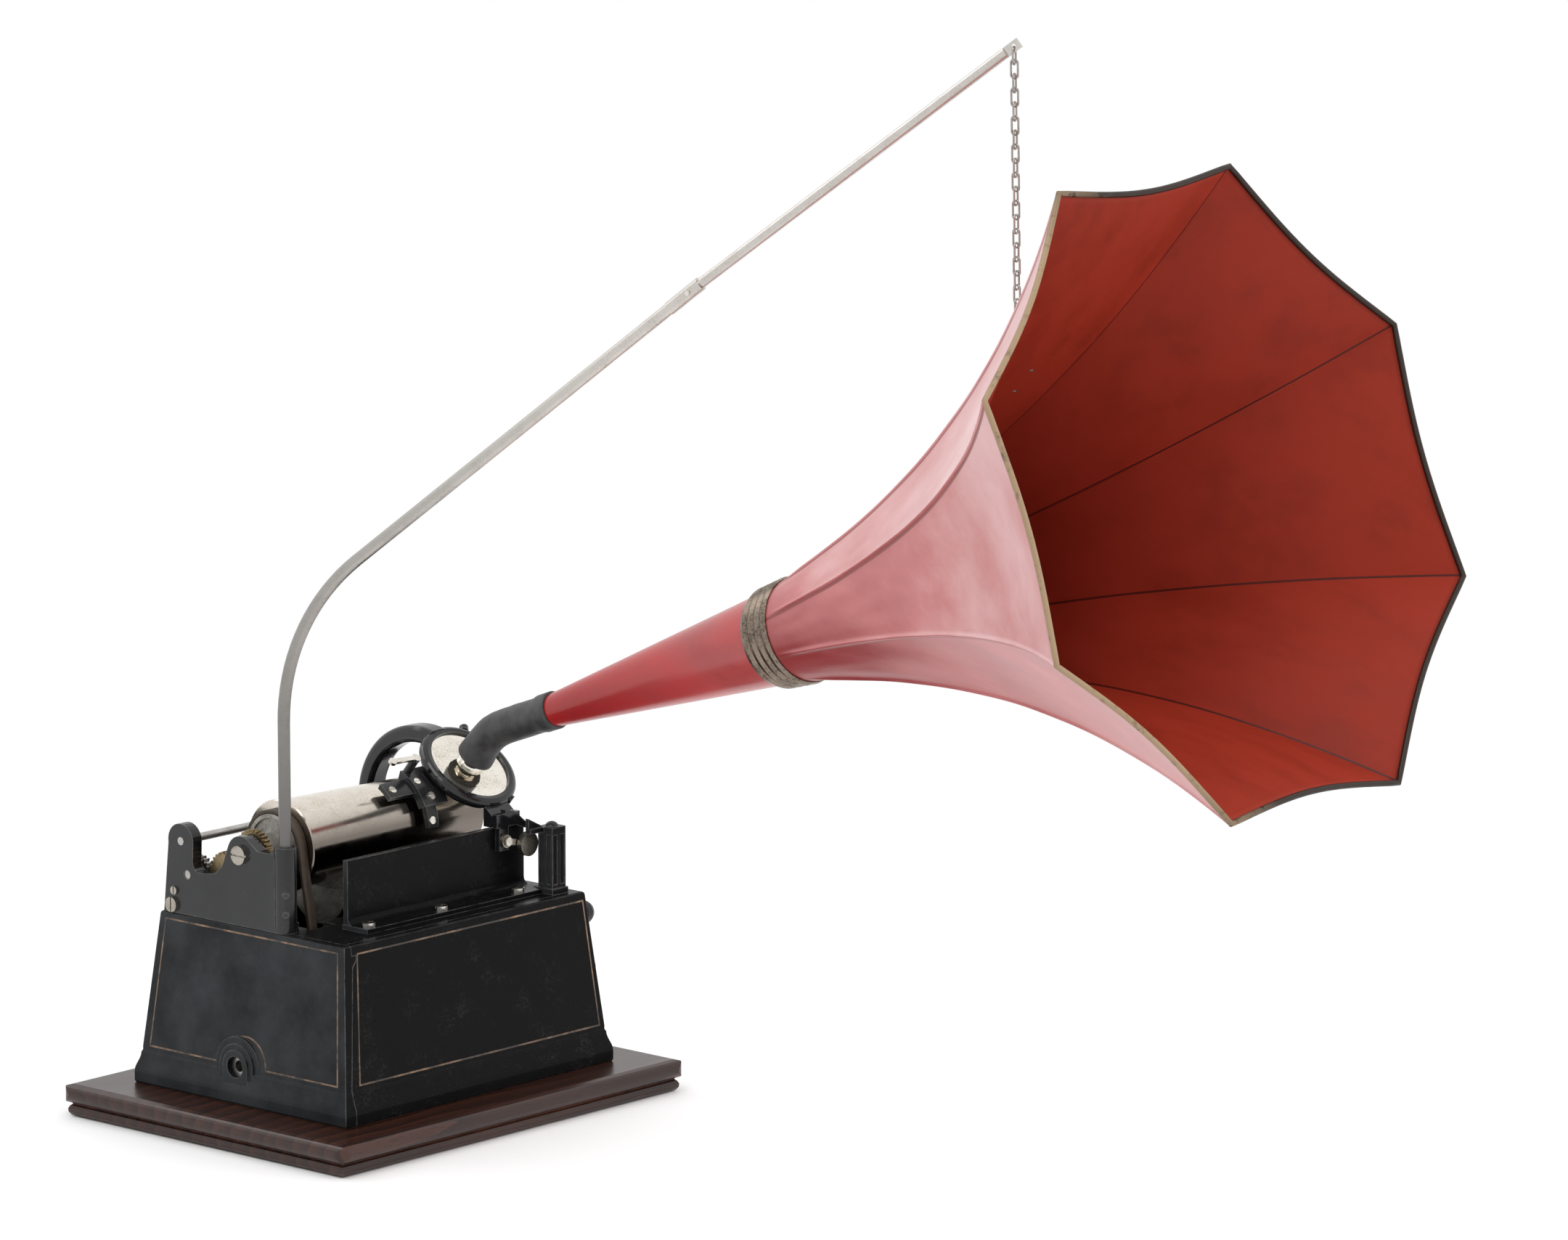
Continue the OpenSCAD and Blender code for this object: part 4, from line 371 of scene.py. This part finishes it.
MAHOGANY = mahogany("mahogany")
RUBBER = rubber("black_rubber")
LEATHER = leather("belt_leather")
# Inside the bell the red turns darker towards the throat: painted shade deep in the bell
BELL_INSIDE = red_paint("bell_inside", (0.30, 0.028, 0.013), (0.20, 0.016, 0.009), (-0.40, -0.24),
                        (0.05, 0.03, 0.02), rough=0.50, gloss=0.15)
BELL_OUTSIDE = faded_paint_with_sheen("bell_outside", (0.27, 0.032, 0.034), (0.53, 0.17, 0.17), (0.74, 0.47, 0.47),
                           (-0.25, -0.47))
NECK_RED = red_paint("neck_red", (0.46, 0.075, 0.075), (0.42, 0.022, 0.024), (-0.20, -0.10),
                     (0.12, 0.03, 0.02), rough=0.22, gloss=0.45)
# Outside seams turn paler towards the rim, as the sheet does: partly faded paint, partly a painted reflection
SEAM_OUTSIDE = red_paint("seam_outside", (0.33, 0.10, 0.095), (0.25, 0.045, 0.040), (-0.40, -0.22),
                         (0.1, 0.03, 0.02))
# The inside seams also darken towards the throat: painted shade
SEAM_INSIDE = red_paint("seam_inside", (0.085, 0.012, 0.008), (0.05, 0.006, 0.004), (-0.36, -0.20),
                        (0.03, 0.02, 0.01), gloss=0.2)
RIM_GILT = rim_gilt("rim_gilt")
PINSTRIPE = pinstripe_paint("pinstripe_paint")
MICA = plated("mica", (0.60, 0.55, 0.42), (0.40, 0.35, 0.25), 0.3)

BY_SLOT = {
    "mahogany": MAHOGANY, "nickel": NICKEL, "black_japan": JAPAN, "steel": STEEL, "black_steel": BLACK_STEEL,
    "grey_plate": GREY_PLATE, "aged_nickel": AGED_NICKEL, "belt_leather": LEATHER,
    "mandrel_nickel": MANDREL_NICKEL, "gear_brass": GEAR_BRASS, "spring_steel": SPRING_STEEL,
    "copper_brass": COPPER_BRASS, "mica": MICA, "black_rubber": RUBBER, "horn_red_neck": NECK_RED,
    "horn_red_bell": BELL_INSIDE, "tarnished_band": BAND_PLATE, "worn_gilt": WORN_GILT,
    "tarnished_wire": WIRE,
}
for part in frame["record"]["subparts"]:
    dress(part["node"], BY_SLOT[part["material_slot"]])
for crane_part in ("crane_rod", "crane_upper_rod"):
    dress(crane_part, CRANE_NICKEL)
for glossy_part in ("carriage_arm", "ring_clamp_screw", "left_bracket"):
    dress(glossy_part, GLOSS_JAPAN)
dress("reproducer_body", POLISHED)
dress("crane_set_screws", BLACK_STEEL)
dress("bracket_screws", AGED_NICKEL)
dress("chain", CHAIN_NICKEL)


# Mesh helpers


def mesh_piece(name, points, faces, material, body, smooth=True, replaces=()):
    """A mesh object in frame metres that rides on a CAD body, or on none yet."""
    mesh = bpy.data.meshes.new(name)
    mesh.from_pydata([tuple(p) for p in points], [], faces)
    mesh.validate()
    mesh.materials.append(material)
    for polygon in mesh.polygons:
        polygon.use_smooth = smooth
    piece = bpy.data.objects.new(name, mesh)
    bpy.context.scene.collection.objects.link(piece)
    if body:
        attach(piece, body)
    if replaces:
        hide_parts(*replaces)
    return piece


def grid_faces(rows, columns, start=0, flip=False):
    """Quads between rings of points, counted from start; flip turns them inside out."""
    faces = []
    for i in range(rows - 1):
        for j in range(columns):
            k = (j + 1) % columns
            quad = (start + i * columns + j, start + i * columns + k,
                    start + (i + 1) * columns + k, start + (i + 1) * columns + j)
            faces.append(tuple(reversed(quad)) if flip else quad)
    return faces


def join_ends(count, around):
    """Quads that join the last of count rings of points to the first."""
    last = (count - 1) * around
    return [(last + j, last + (j + 1) % around, (j + 1) % around, j) for j in range(around)]


def closed_tube(path, radius, around):
    """Points and faces of a round tube along a closed path, each ring carried on from the one before."""
    count = len(path)
    tangents = [(path[(i + 1) % count] - path[i - 1]).normalized() for i in range(count)]
    side = tangents[0].orthogonal().normalized()
    points = []
    for at, tangent in zip(path, tangents):
        side = (side - tangent * side.dot(tangent)).normalized()
        other = tangent.cross(side)
        for j in range(around):
            turn = 2 * math.pi * j / around
            points.append(at + (side * math.cos(turn) + other * math.sin(turn)) * radius)
    return points, grid_faces(count, around) + join_ends(count, around)


# Horn: the same flare and panels as the CAD solid, with rolled seams and finer rings

CARRIAGE_X = joints["carriage_lift"]["pos_m"][0]
HORN_FOOT = Vector((CARRIAGE_X, -0.0715, 0.207))
HORN_RISE = math.radians(20.5)
HORN_LENGTH = 0.474
BAND_START, BAND_END = 0.350 * HORN_LENGTH, 0.391 * HORN_LENGTH
SMALL_R, BAND_R, BELL_R = 0.0087, 0.0239, 0.166
FLARE_LEAD = 0.1675
SHEET = 0.0006
FIT = 0.0001
PANELS = 8
RIM_SAG = 0.036
SLEEVE = 0.011
SEAM_RUN_IN = 0.02
DENT = 0.0004
HORN_TURN = Matrix.Rotation(math.pi / 2 - HORN_RISE, 3, "X")


def on_horn(x, y, z):
    """From the horn's own axes, z along the horn, to the frame."""
    return HORN_FOOT + HORN_TURN @ Vector((x, y, z))


def neck_radius(z):
    """Outside of the neck cone."""
    return SMALL_R + (BAND_R - SMALL_R) * z / BAND_START


def flare(z):
    """Radius over the bell's corners: close to an exponential that runs ahead by FLARE_LEAD."""
    if z <= BAND_END:
        return neck_radius(z) + FIT
    share = (z - BAND_END) / (HORN_LENGTH - BAND_END)
    start = neck_radius(BAND_END) + FIT
    growth = (1 + FLARE_LEAD) * share - FLARE_LEAD * share * share
    return start * math.exp(math.log(BELL_R / start) * growth)


def panel_radius(z, across):
    """Radius at a share across a panel, from -1 at one seam to 1 at the next."""
    share = max(0.0, (z - BAND_END) / (HORN_LENGTH - BAND_END))
    dip = (1 - math.cos(math.pi / PANELS)) * min(1.0, 2.2 * share) + RIM_SAG * share * share
    return flare(z) * (1 - dip * (1 - across * across))


def horn_bell():
    """The bell's sheet, outside and inside, with a raised seam between each two panels."""
    rings = 72
    seam_steps = (0.0, 0.0005, 0.0010, 0.0016, 0.0024)
    seam_lift = (0.0011, 0.0009, 0.0004, 0.0001, 0.0)
    inner_steps = 11
    start = BAND_END - SLEEVE
    outer, inner = [], []
    columns = PANELS * (2 * len(seam_steps) - 1 + inner_steps)
    for i in range(rings):
        z = start + (HORN_LENGTH - start) * i / (rings - 1)
        half = math.pi / PANELS
        rise = min(1.0, max(0.0, (z - BAND_END) / SEAM_RUN_IN))
        for panel in range(PANELS):
            middle = 2 * half * panel + math.pi / 2
            offsets = []
            for step, lift in zip(seam_steps, seam_lift):
                offsets.append((-half + step / flare(z), lift * rise))
            low = offsets[-1][0]
            for k in range(1, inner_steps + 1):
                offsets.append((low + (-2 * low) * k / (inner_steps + 1), 0.0))
            for step, lift in reversed(list(zip(seam_steps, seam_lift))[1:]):
                offsets.append((half - step / flare(z), lift * rise))
            for offset, lift in offsets:
                across = offset / half
                wave = DENT * noise.noise(Vector((panel * 3.1, offset * 6, z * 30))) * rise
                radius = panel_radius(z, across) + wave
                turn = middle + offset
                outer.append(on_horn((radius + SHEET + lift) * math.cos(turn),
                                     (radius + SHEET + lift) * math.sin(turn), z))
                inner.append(on_horn(radius * math.cos(turn), radius * math.sin(turn), z))
    count = len(outer)
    faces = grid_faces(rings, columns)
    faces += grid_faces(rings, columns, start=count, flip=True)
    sheet_faces = len(faces)
    last = (rings - 1) * columns
    for j in range(columns):
        k = (j + 1) % columns
        faces.append((k, j, count + j, count + k))
        faces.append((last + j, last + k, count + last + k, count + last + j))
    bell = mesh_piece("bell", outer + inner, faces, BELL_OUTSIDE, "horn",
                      replaces=("horn_bell",))
    for extra in (BELL_INSIDE, SEAM_OUTSIDE, SEAM_INSIDE):
        bell.data.materials.append(extra)
    per_panel = columns // PANELS
    for index, polygon in enumerate(bell.data.polygons):
        inside = index >= sheet_faces // 2
        column = index % columns % per_panel
        dark = column in (2, 3) if not inside else column in (0, 1)
        polygon.material_index = (1 if inside else 0) + (2 if dark and index < sheet_faces else 0)
    seams = {count + i * columns + p * per_panel for i in range(rings) for p in range(PANELS)}
    for edge in bell.data.edges:
        if edge.vertices[0] in seams and edge.vertices[1] in seams:
            edge.use_edge_sharp = True


def horn_rim():
    """Rolled wire edge of the bell."""
    wire_r, ahead = 0.0015, 0.0004
    path = []
    steps = 24
    for panel in range(PANELS):
        for k in range(steps):
            across = -1 + 2 * k / steps
            turn = 2 * math.pi / PANELS * (panel + across / 2) + math.pi / 2
            radius = panel_radius(HORN_LENGTH, across) + SHEET / 2
            path.append(on_horn(radius * math.cos(turn), radius * math.sin(turn), HORN_LENGTH + ahead))
    points, faces = closed_tube(path, wire_r, 12)
    mesh_piece("bell_rim", points, faces, RIM_GILT, "horn", replaces=("horn_rim_bead",))


# Elbow and belt, which take the place of plain solids

REPRODUCER_TILT = 39
REPRODUCER_NECK = Vector((CARRIAGE_X, -0.014656, 0.171977))
ELBOW_R, ELBOW_BEND = 0.0092, 0.038
THICKER, ROOT_RUN, CUFF_LENGTH = 0.0007, 0.006, 0.0105
ELBOW_DENT = 0.00022
MANDREL_PULLEY, MANDREL_PULLEY_R = Vector((0, 0.008, 0.144)), 0.0175
DRIVE_PULLEY, DRIVE_PULLEY_R = Vector((0, -0.008, 0.064)), 0.014
BELT_X, BELT_GAP = -0.0621, 0.00015
BELT_HALF_W, BELT_HALF_T = 0.0028, 0.00095
BELT_FRAY = 0.00012
LAP_T, LAP_RINGS = 0.0005, range(60, 66)


def rubber_elbow():
    """Bent rubber tube from the reproducer's neck to the horn: thick at the root, with a cuff at the horn."""
    tilt = math.radians(REPRODUCER_TILT)
    up = Vector((0, -math.sin(tilt), math.cos(tilt)))
    out = Vector((0, -math.cos(HORN_RISE), math.sin(HORN_RISE)))
    start = REPRODUCER_NECK + up * 0.006
    end = HORN_FOOT + out * 0.004
    gap = end - start
    run_in = (gap.y * out.z - gap.z * out.y) / (up.y * out.z - up.z * out.y)
    corner = start + up * run_in
    bend, turn = ELBOW_BEND, math.pi / 2 - tilt - HORN_RISE
    cut = bend * math.tan(turn / 2)
    middle = corner - up * cut + Vector((0, -math.cos(tilt), -math.sin(tilt))) * bend
    path = [start + up * (run_in - cut) * k / 8 for k in range(8)]
    spoke = corner - up * cut - middle
    path += [middle + Matrix.Rotation(turn * k / 14, 3, "X") @ spoke for k in range(15)]
    bend_end = corner + out * cut
    path += [bend_end + (end - bend_end) * k / 14 for k in range(1, 15)]
    ways = [0.0]
    for a, b in zip(path, path[1:]):
        ways.append(ways[-1] + (b - a).length)
    total = ways[-1]
    rings = []
    for at, way in zip(path, ways):
        root = THICKER * math.exp(-(way / ROOT_RUN) ** 2)
        cuff = THICKER * min(1.0, max(0.0, (way - total + CUFF_LENGTH) / 0.0012))
        rings.append((at, ELBOW_R + root + cuff))
    # The tube's ends are rounded in towards its bore
    rings.insert(0, (path[0] + up * 0.0001, 0.0090))
    rings.insert(0, (path[0] + up * 0.0004, 0.0066))
    rings.append((path[-1] + out * 0.0004, 0.0095))
    rings.append((path[-1] + out * 0.0003, 0.0084))
    around = 40
    points = []
    for index, (at, radius) in enumerate(rings):
        i = min(max(index - 2, 0), len(path) - 1)
        tangent = (path[min(i + 1, len(path) - 1)] - path[max(i - 1, 0)]).normalized()
        side = Vector((1, 0, 0))
        other = tangent.cross(side)
        for j in range(around):
            angle = 2 * math.pi * j / around
            spoke = side * math.cos(angle) + other * math.sin(angle)
            dent = ELBOW_DENT * noise.noise((at + spoke * 0.009) * 170)
            points.append(at + spoke * (radius + dent))
    elbow = mesh_piece("rubber_elbow", points, grid_faces(len(rings), around), RUBBER, None,
                       replaces=("horn_elbow",))
    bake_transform(elbow)


def leather_belt():
    """Round-edged leather belt over both pulleys, with a lap where its ends are joined."""
    top, low = MANDREL_PULLEY, DRIVE_PULLEY
    r_top, r_low = MANDREL_PULLEY_R + BELT_GAP + BELT_HALF_T, DRIVE_PULLEY_R + BELT_GAP + BELT_HALF_T
    way = low - top
    bearing = math.atan2(way.z, way.y)
    lean = math.acos((r_top - r_low) / way.length)
    loop = []
    for centre, radius, first, last, steps in ((top, r_top, bearing + lean, bearing + 2 * math.pi - lean, 56),
                                               (low, r_low, bearing - lean, bearing + lean, 40)):
        for k in range(steps + 1):
            angle = first + (last - first) * k / steps
            spoke = Vector((0, math.cos(angle), math.sin(angle)))
            loop.append((centre + spoke * radius, spoke))
        if centre is top:
            spoke = Vector((0, math.cos(bearing - lean), math.sin(bearing - lean)))
            a, b = loop[-1], (low + spoke * r_low, loop[-1][1])
        else:
            a, b = loop[-1], loop[0]
        loop += [(a[0].lerp(b[0], k / 12), a[1].lerp(b[1], k / 12).normalized()) for k in range(1, 12)]
    section = [(-1, -0.6), (-0.93, -1), (0.93, -1), (1, -0.6), (1, 0.6), (0.93, 1), (0, 1.05), (-0.93, 1),
               (-1, 0.6)]
    points = []
    for index, (at, spoke) in enumerate(loop):
        lap = LAP_T if index in LAP_RINGS else 0.0
        for across, deep in section:
            edge = BELT_FRAY * noise.noise(at * 300 + Vector((across * 3, 0, 0)))
            points.append(Vector((BELT_X + across * (BELT_HALF_W + edge), at.y, at.z))
                          + spoke * (deep * BELT_HALF_T + (lap if deep > 0 else 0.0)))
    faces = grid_faces(len(loop), len(section)) + join_ends(len(loop), len(section))
    mesh_piece("leather_belt", points, faces, LEATHER, "case", replaces=("drive_belt",))


horn_bell()
horn_rim()
rubber_elbow()
leather_belt()


# Case pinstripes: thin painted lines just off the leaning faces

PLINTH_TOP_HALF = (0.0953, 0.0728)
DECK_HALF = (0.0883, 0.0658)
PLINTH_TOP_Z, DECK_Z = 0.036, 0.1055
STRIPE_W = 0.0009
STRIPE_LIFT = 0.00006
STRIPE_FOOT_Z = 0.0368
BOSS_Y, BOSS_ARCH_R = -0.0006, 0.0152


def face_point(face, across, z):
    """A point just off the front (or left) face, at a distance across it from the middle and a height."""
    share = (z - PLINTH_TOP_Z) / (DECK_Z - PLINTH_TOP_Z)
    axis = 1 if face == "front" else 0
    out = PLINTH_TOP_HALF[axis] + (DECK_HALF[axis] - PLINTH_TOP_HALF[axis]) * share + STRIPE_LIFT
    return Vector((across, -out, z)) if face == "front" else Vector((-out, across, z))


def pinstripe(name, face, corners):
    """A painted line of even width round corners (across, z) on one face."""
    flat = [Vector(c) for c in corners]
    count = len(flat)
    points, faces = [], []
    for i, at in enumerate(flat):
        ahead = (flat[(i + 1) % count] - at).normalized()
        behind = (at - flat[i - 1]).normalized()
        normal = Vector((-behind.y, behind.x)) + Vector((-ahead.y, ahead.x))
        normal = normal.normalized() / max(0.5, math.sqrt((1 + ahead.dot(behind)) / 2))
        for side in (-0.5, 0.5):
            spot = at + normal * side * STRIPE_W
            points.append(face_point(face, spot.x, spot.y))
    for i in range(count):
        k = (i + 1) % count
        faces.append((2 * i, 2 * i + 1, 2 * k + 1, 2 * k))
    mesh_piece(name, points, faces, PINSTRIPE, "case", smooth=False)


def arch_points(middle, base_z, radius):
    """Half a circle over a base line."""
    steps = 18
    return [(middle + radius * math.cos(math.pi * k / steps), base_z + radius * math.sin(math.pi * k / steps))
            for k in range(steps + 1)]


pinstripe("pinstripe_front", "front",
          [(-0.0795, 0.1025), (0.0862, 0.1025), (0.0915, STRIPE_FOOT_Z), (-0.0850, STRIPE_FOOT_Z)])
pinstripe("pinstripe_left", "left",
          [(0.0617, 0.1035), (0.0676, STRIPE_FOOT_Z)] + arch_points(BOSS_Y, STRIPE_FOOT_Z, BOSS_ARCH_R)
          + [(-0.0669, STRIPE_FOOT_Z), (-0.0612, 0.1035)])


# Stage, light and camera


def stage_floor():
    """Pale floor: it takes the object's shadow near the board and is plain white further out."""
    n = Nodes("floor_white")
    far = n.add("ShaderNodeVectorMath", operation="LENGTH")
    n.link(n.stretched((0.55, 0.55, 1.0)), far.inputs[0])
    fade = n.add("ShaderNodeMapRange", clamp=True, interpolation_type="SMOOTHSTEP")
    fade.inputs["From Min"].default_value = 0.10
    fade.inputs["From Max"].default_value = 0.42
    n.link(far.outputs["Value"], fade.inputs["Value"])
    path = n.add("ShaderNodeLightPath")
    seen = n.math("MAXIMUM", path.outputs["Is Camera Ray"],
                  n.math("MAXIMUM", path.outputs["Is Glossy Ray"], path.outputs["Is Transmission Ray"]))
    glow = n.add("ShaderNodeEmission")
    glow.inputs["Strength"].default_value = 1.0
    blend = n.add("ShaderNodeMixShader")
    n.link(n.math("MULTIPLY", seen, fade.outputs["Result"]), blend.inputs[0])
    n.link(n.shader.outputs[0], blend.inputs[1])
    n.link(glow.outputs[0], blend.inputs[2])
    n.link(blend.outputs[0], n.tree.nodes["Material Output"].inputs["Surface"])
    material = n.finish((0.90, 0.90, 0.90), 0.9)
    mesh = bpy.data.meshes.new("floor")
    mesh.from_pydata([(-9, -9, 0), (9, -9, 0), (9, 9, 0), (-9, 9, 0)], [], [(0, 1, 2, 3)])
    mesh.materials.append(material)
    floor = bpy.data.objects.new("floor", mesh)
    bpy.context.scene.collection.objects.link(floor)


def world_white():
    """Soft studio: brightest overhead, dimmer towards the horizon."""
    world = bpy.data.worlds.new("studio")
    bpy.context.scene.world = world
    world.use_nodes = True
    tree = world.node_tree
    background = tree.nodes["Background"]
    place = tree.nodes.new("ShaderNodeTexCoord")
    split = tree.nodes.new("ShaderNodeSeparateXYZ")
    tree.links.new(place.outputs["Generated"], split.inputs[0])
    strength = tree.nodes.new("ShaderNodeMapRange")
    strength.interpolation_type = "SMOOTHSTEP"
    for key, value in (("From Min", 0.05), ("From Max", 0.80), ("To Min", 0.50), ("To Max", 1.25)):
        strength.inputs[key].default_value = value
    tree.links.new(split.outputs["Z"], strength.inputs["Value"])
    path = tree.nodes.new("ShaderNodeLightPath")
    seen = path.outputs["Is Camera Ray"]
    for ray in ("Is Glossy Ray", "Is Transmission Ray"):
        either = tree.nodes.new("ShaderNodeMath")
        either.operation = "MAXIMUM"
        tree.links.new(seen, either.inputs[0])
        tree.links.new(path.outputs[ray], either.inputs[1])
        seen = either.outputs[0]
    white = tree.nodes.new("ShaderNodeMix")
    tree.links.new(seen, white.inputs[0])
    tree.links.new(strength.outputs["Result"], white.inputs[2])
    white.inputs[3].default_value = 1.0
    tree.links.new(white.outputs[0], background.inputs["Strength"])
    background.inputs["Color"].default_value = (1, 1, 1, 1)


def area_light(name, place, target, size, power, glossy=True):
    """A soft lamp that faces a target; glossy=False keeps it out of reflections."""
    data = bpy.data.lights.new(name, "AREA")
    data.shape = "RECTANGLE"
    data.size, data.size_y = size
    data.energy = power
    lamp = bpy.data.objects.new(name, data)
    lamp.location = place
    lamp.rotation_euler = (Vector(target) - Vector(place)).to_track_quat("-Z", "Y").to_euler()
    lamp.visible_glossy = glossy
    bpy.context.scene.collection.objects.link(lamp)


CAMERA_AZIMUTH, CAMERA_ELEVATION = math.radians(-48.196), math.radians(10.728)
CAMERA_PLACE = (-3.1947, -3.1394, 1.1013)
CAMERA_LENS = 204.84


def photo_camera():
    """The photograph's view, fitted to the board, the case and the crane."""
    forward = Vector((-math.sin(CAMERA_AZIMUTH) * math.cos(CAMERA_ELEVATION),
                      math.cos(CAMERA_AZIMUTH) * math.cos(CAMERA_ELEVATION),
                      -math.sin(CAMERA_ELEVATION)))
    data = bpy.data.cameras.new("photo_camera")
    data.sensor_width = 36
    data.lens = CAMERA_LENS
    camera = bpy.data.objects.new("photo_camera", data)
    camera.location = CAMERA_PLACE
    camera.rotation_euler = forward.to_track_quat("-Z", "Y").to_euler()
    bpy.context.scene.collection.objects.link(camera)
    bpy.context.scene.camera = camera


stage_floor()
world_white()
area_light("key", (-1.2, -0.6, 2.8), (0, -0.2, 0.2), (1.6, 1.2), 16)
area_light("front", (1.1, -2.9, 1.3), (0.05, -0.45, 0.35), (1.6, 1.2), 34, glossy=False)
area_light("back", (-0.6, 2.2, 2.4), (0, 0, 0.2), (2.0, 1.0), 8)
photo_camera()
bpy.context.scene.view_settings.view_transform = "Standard"
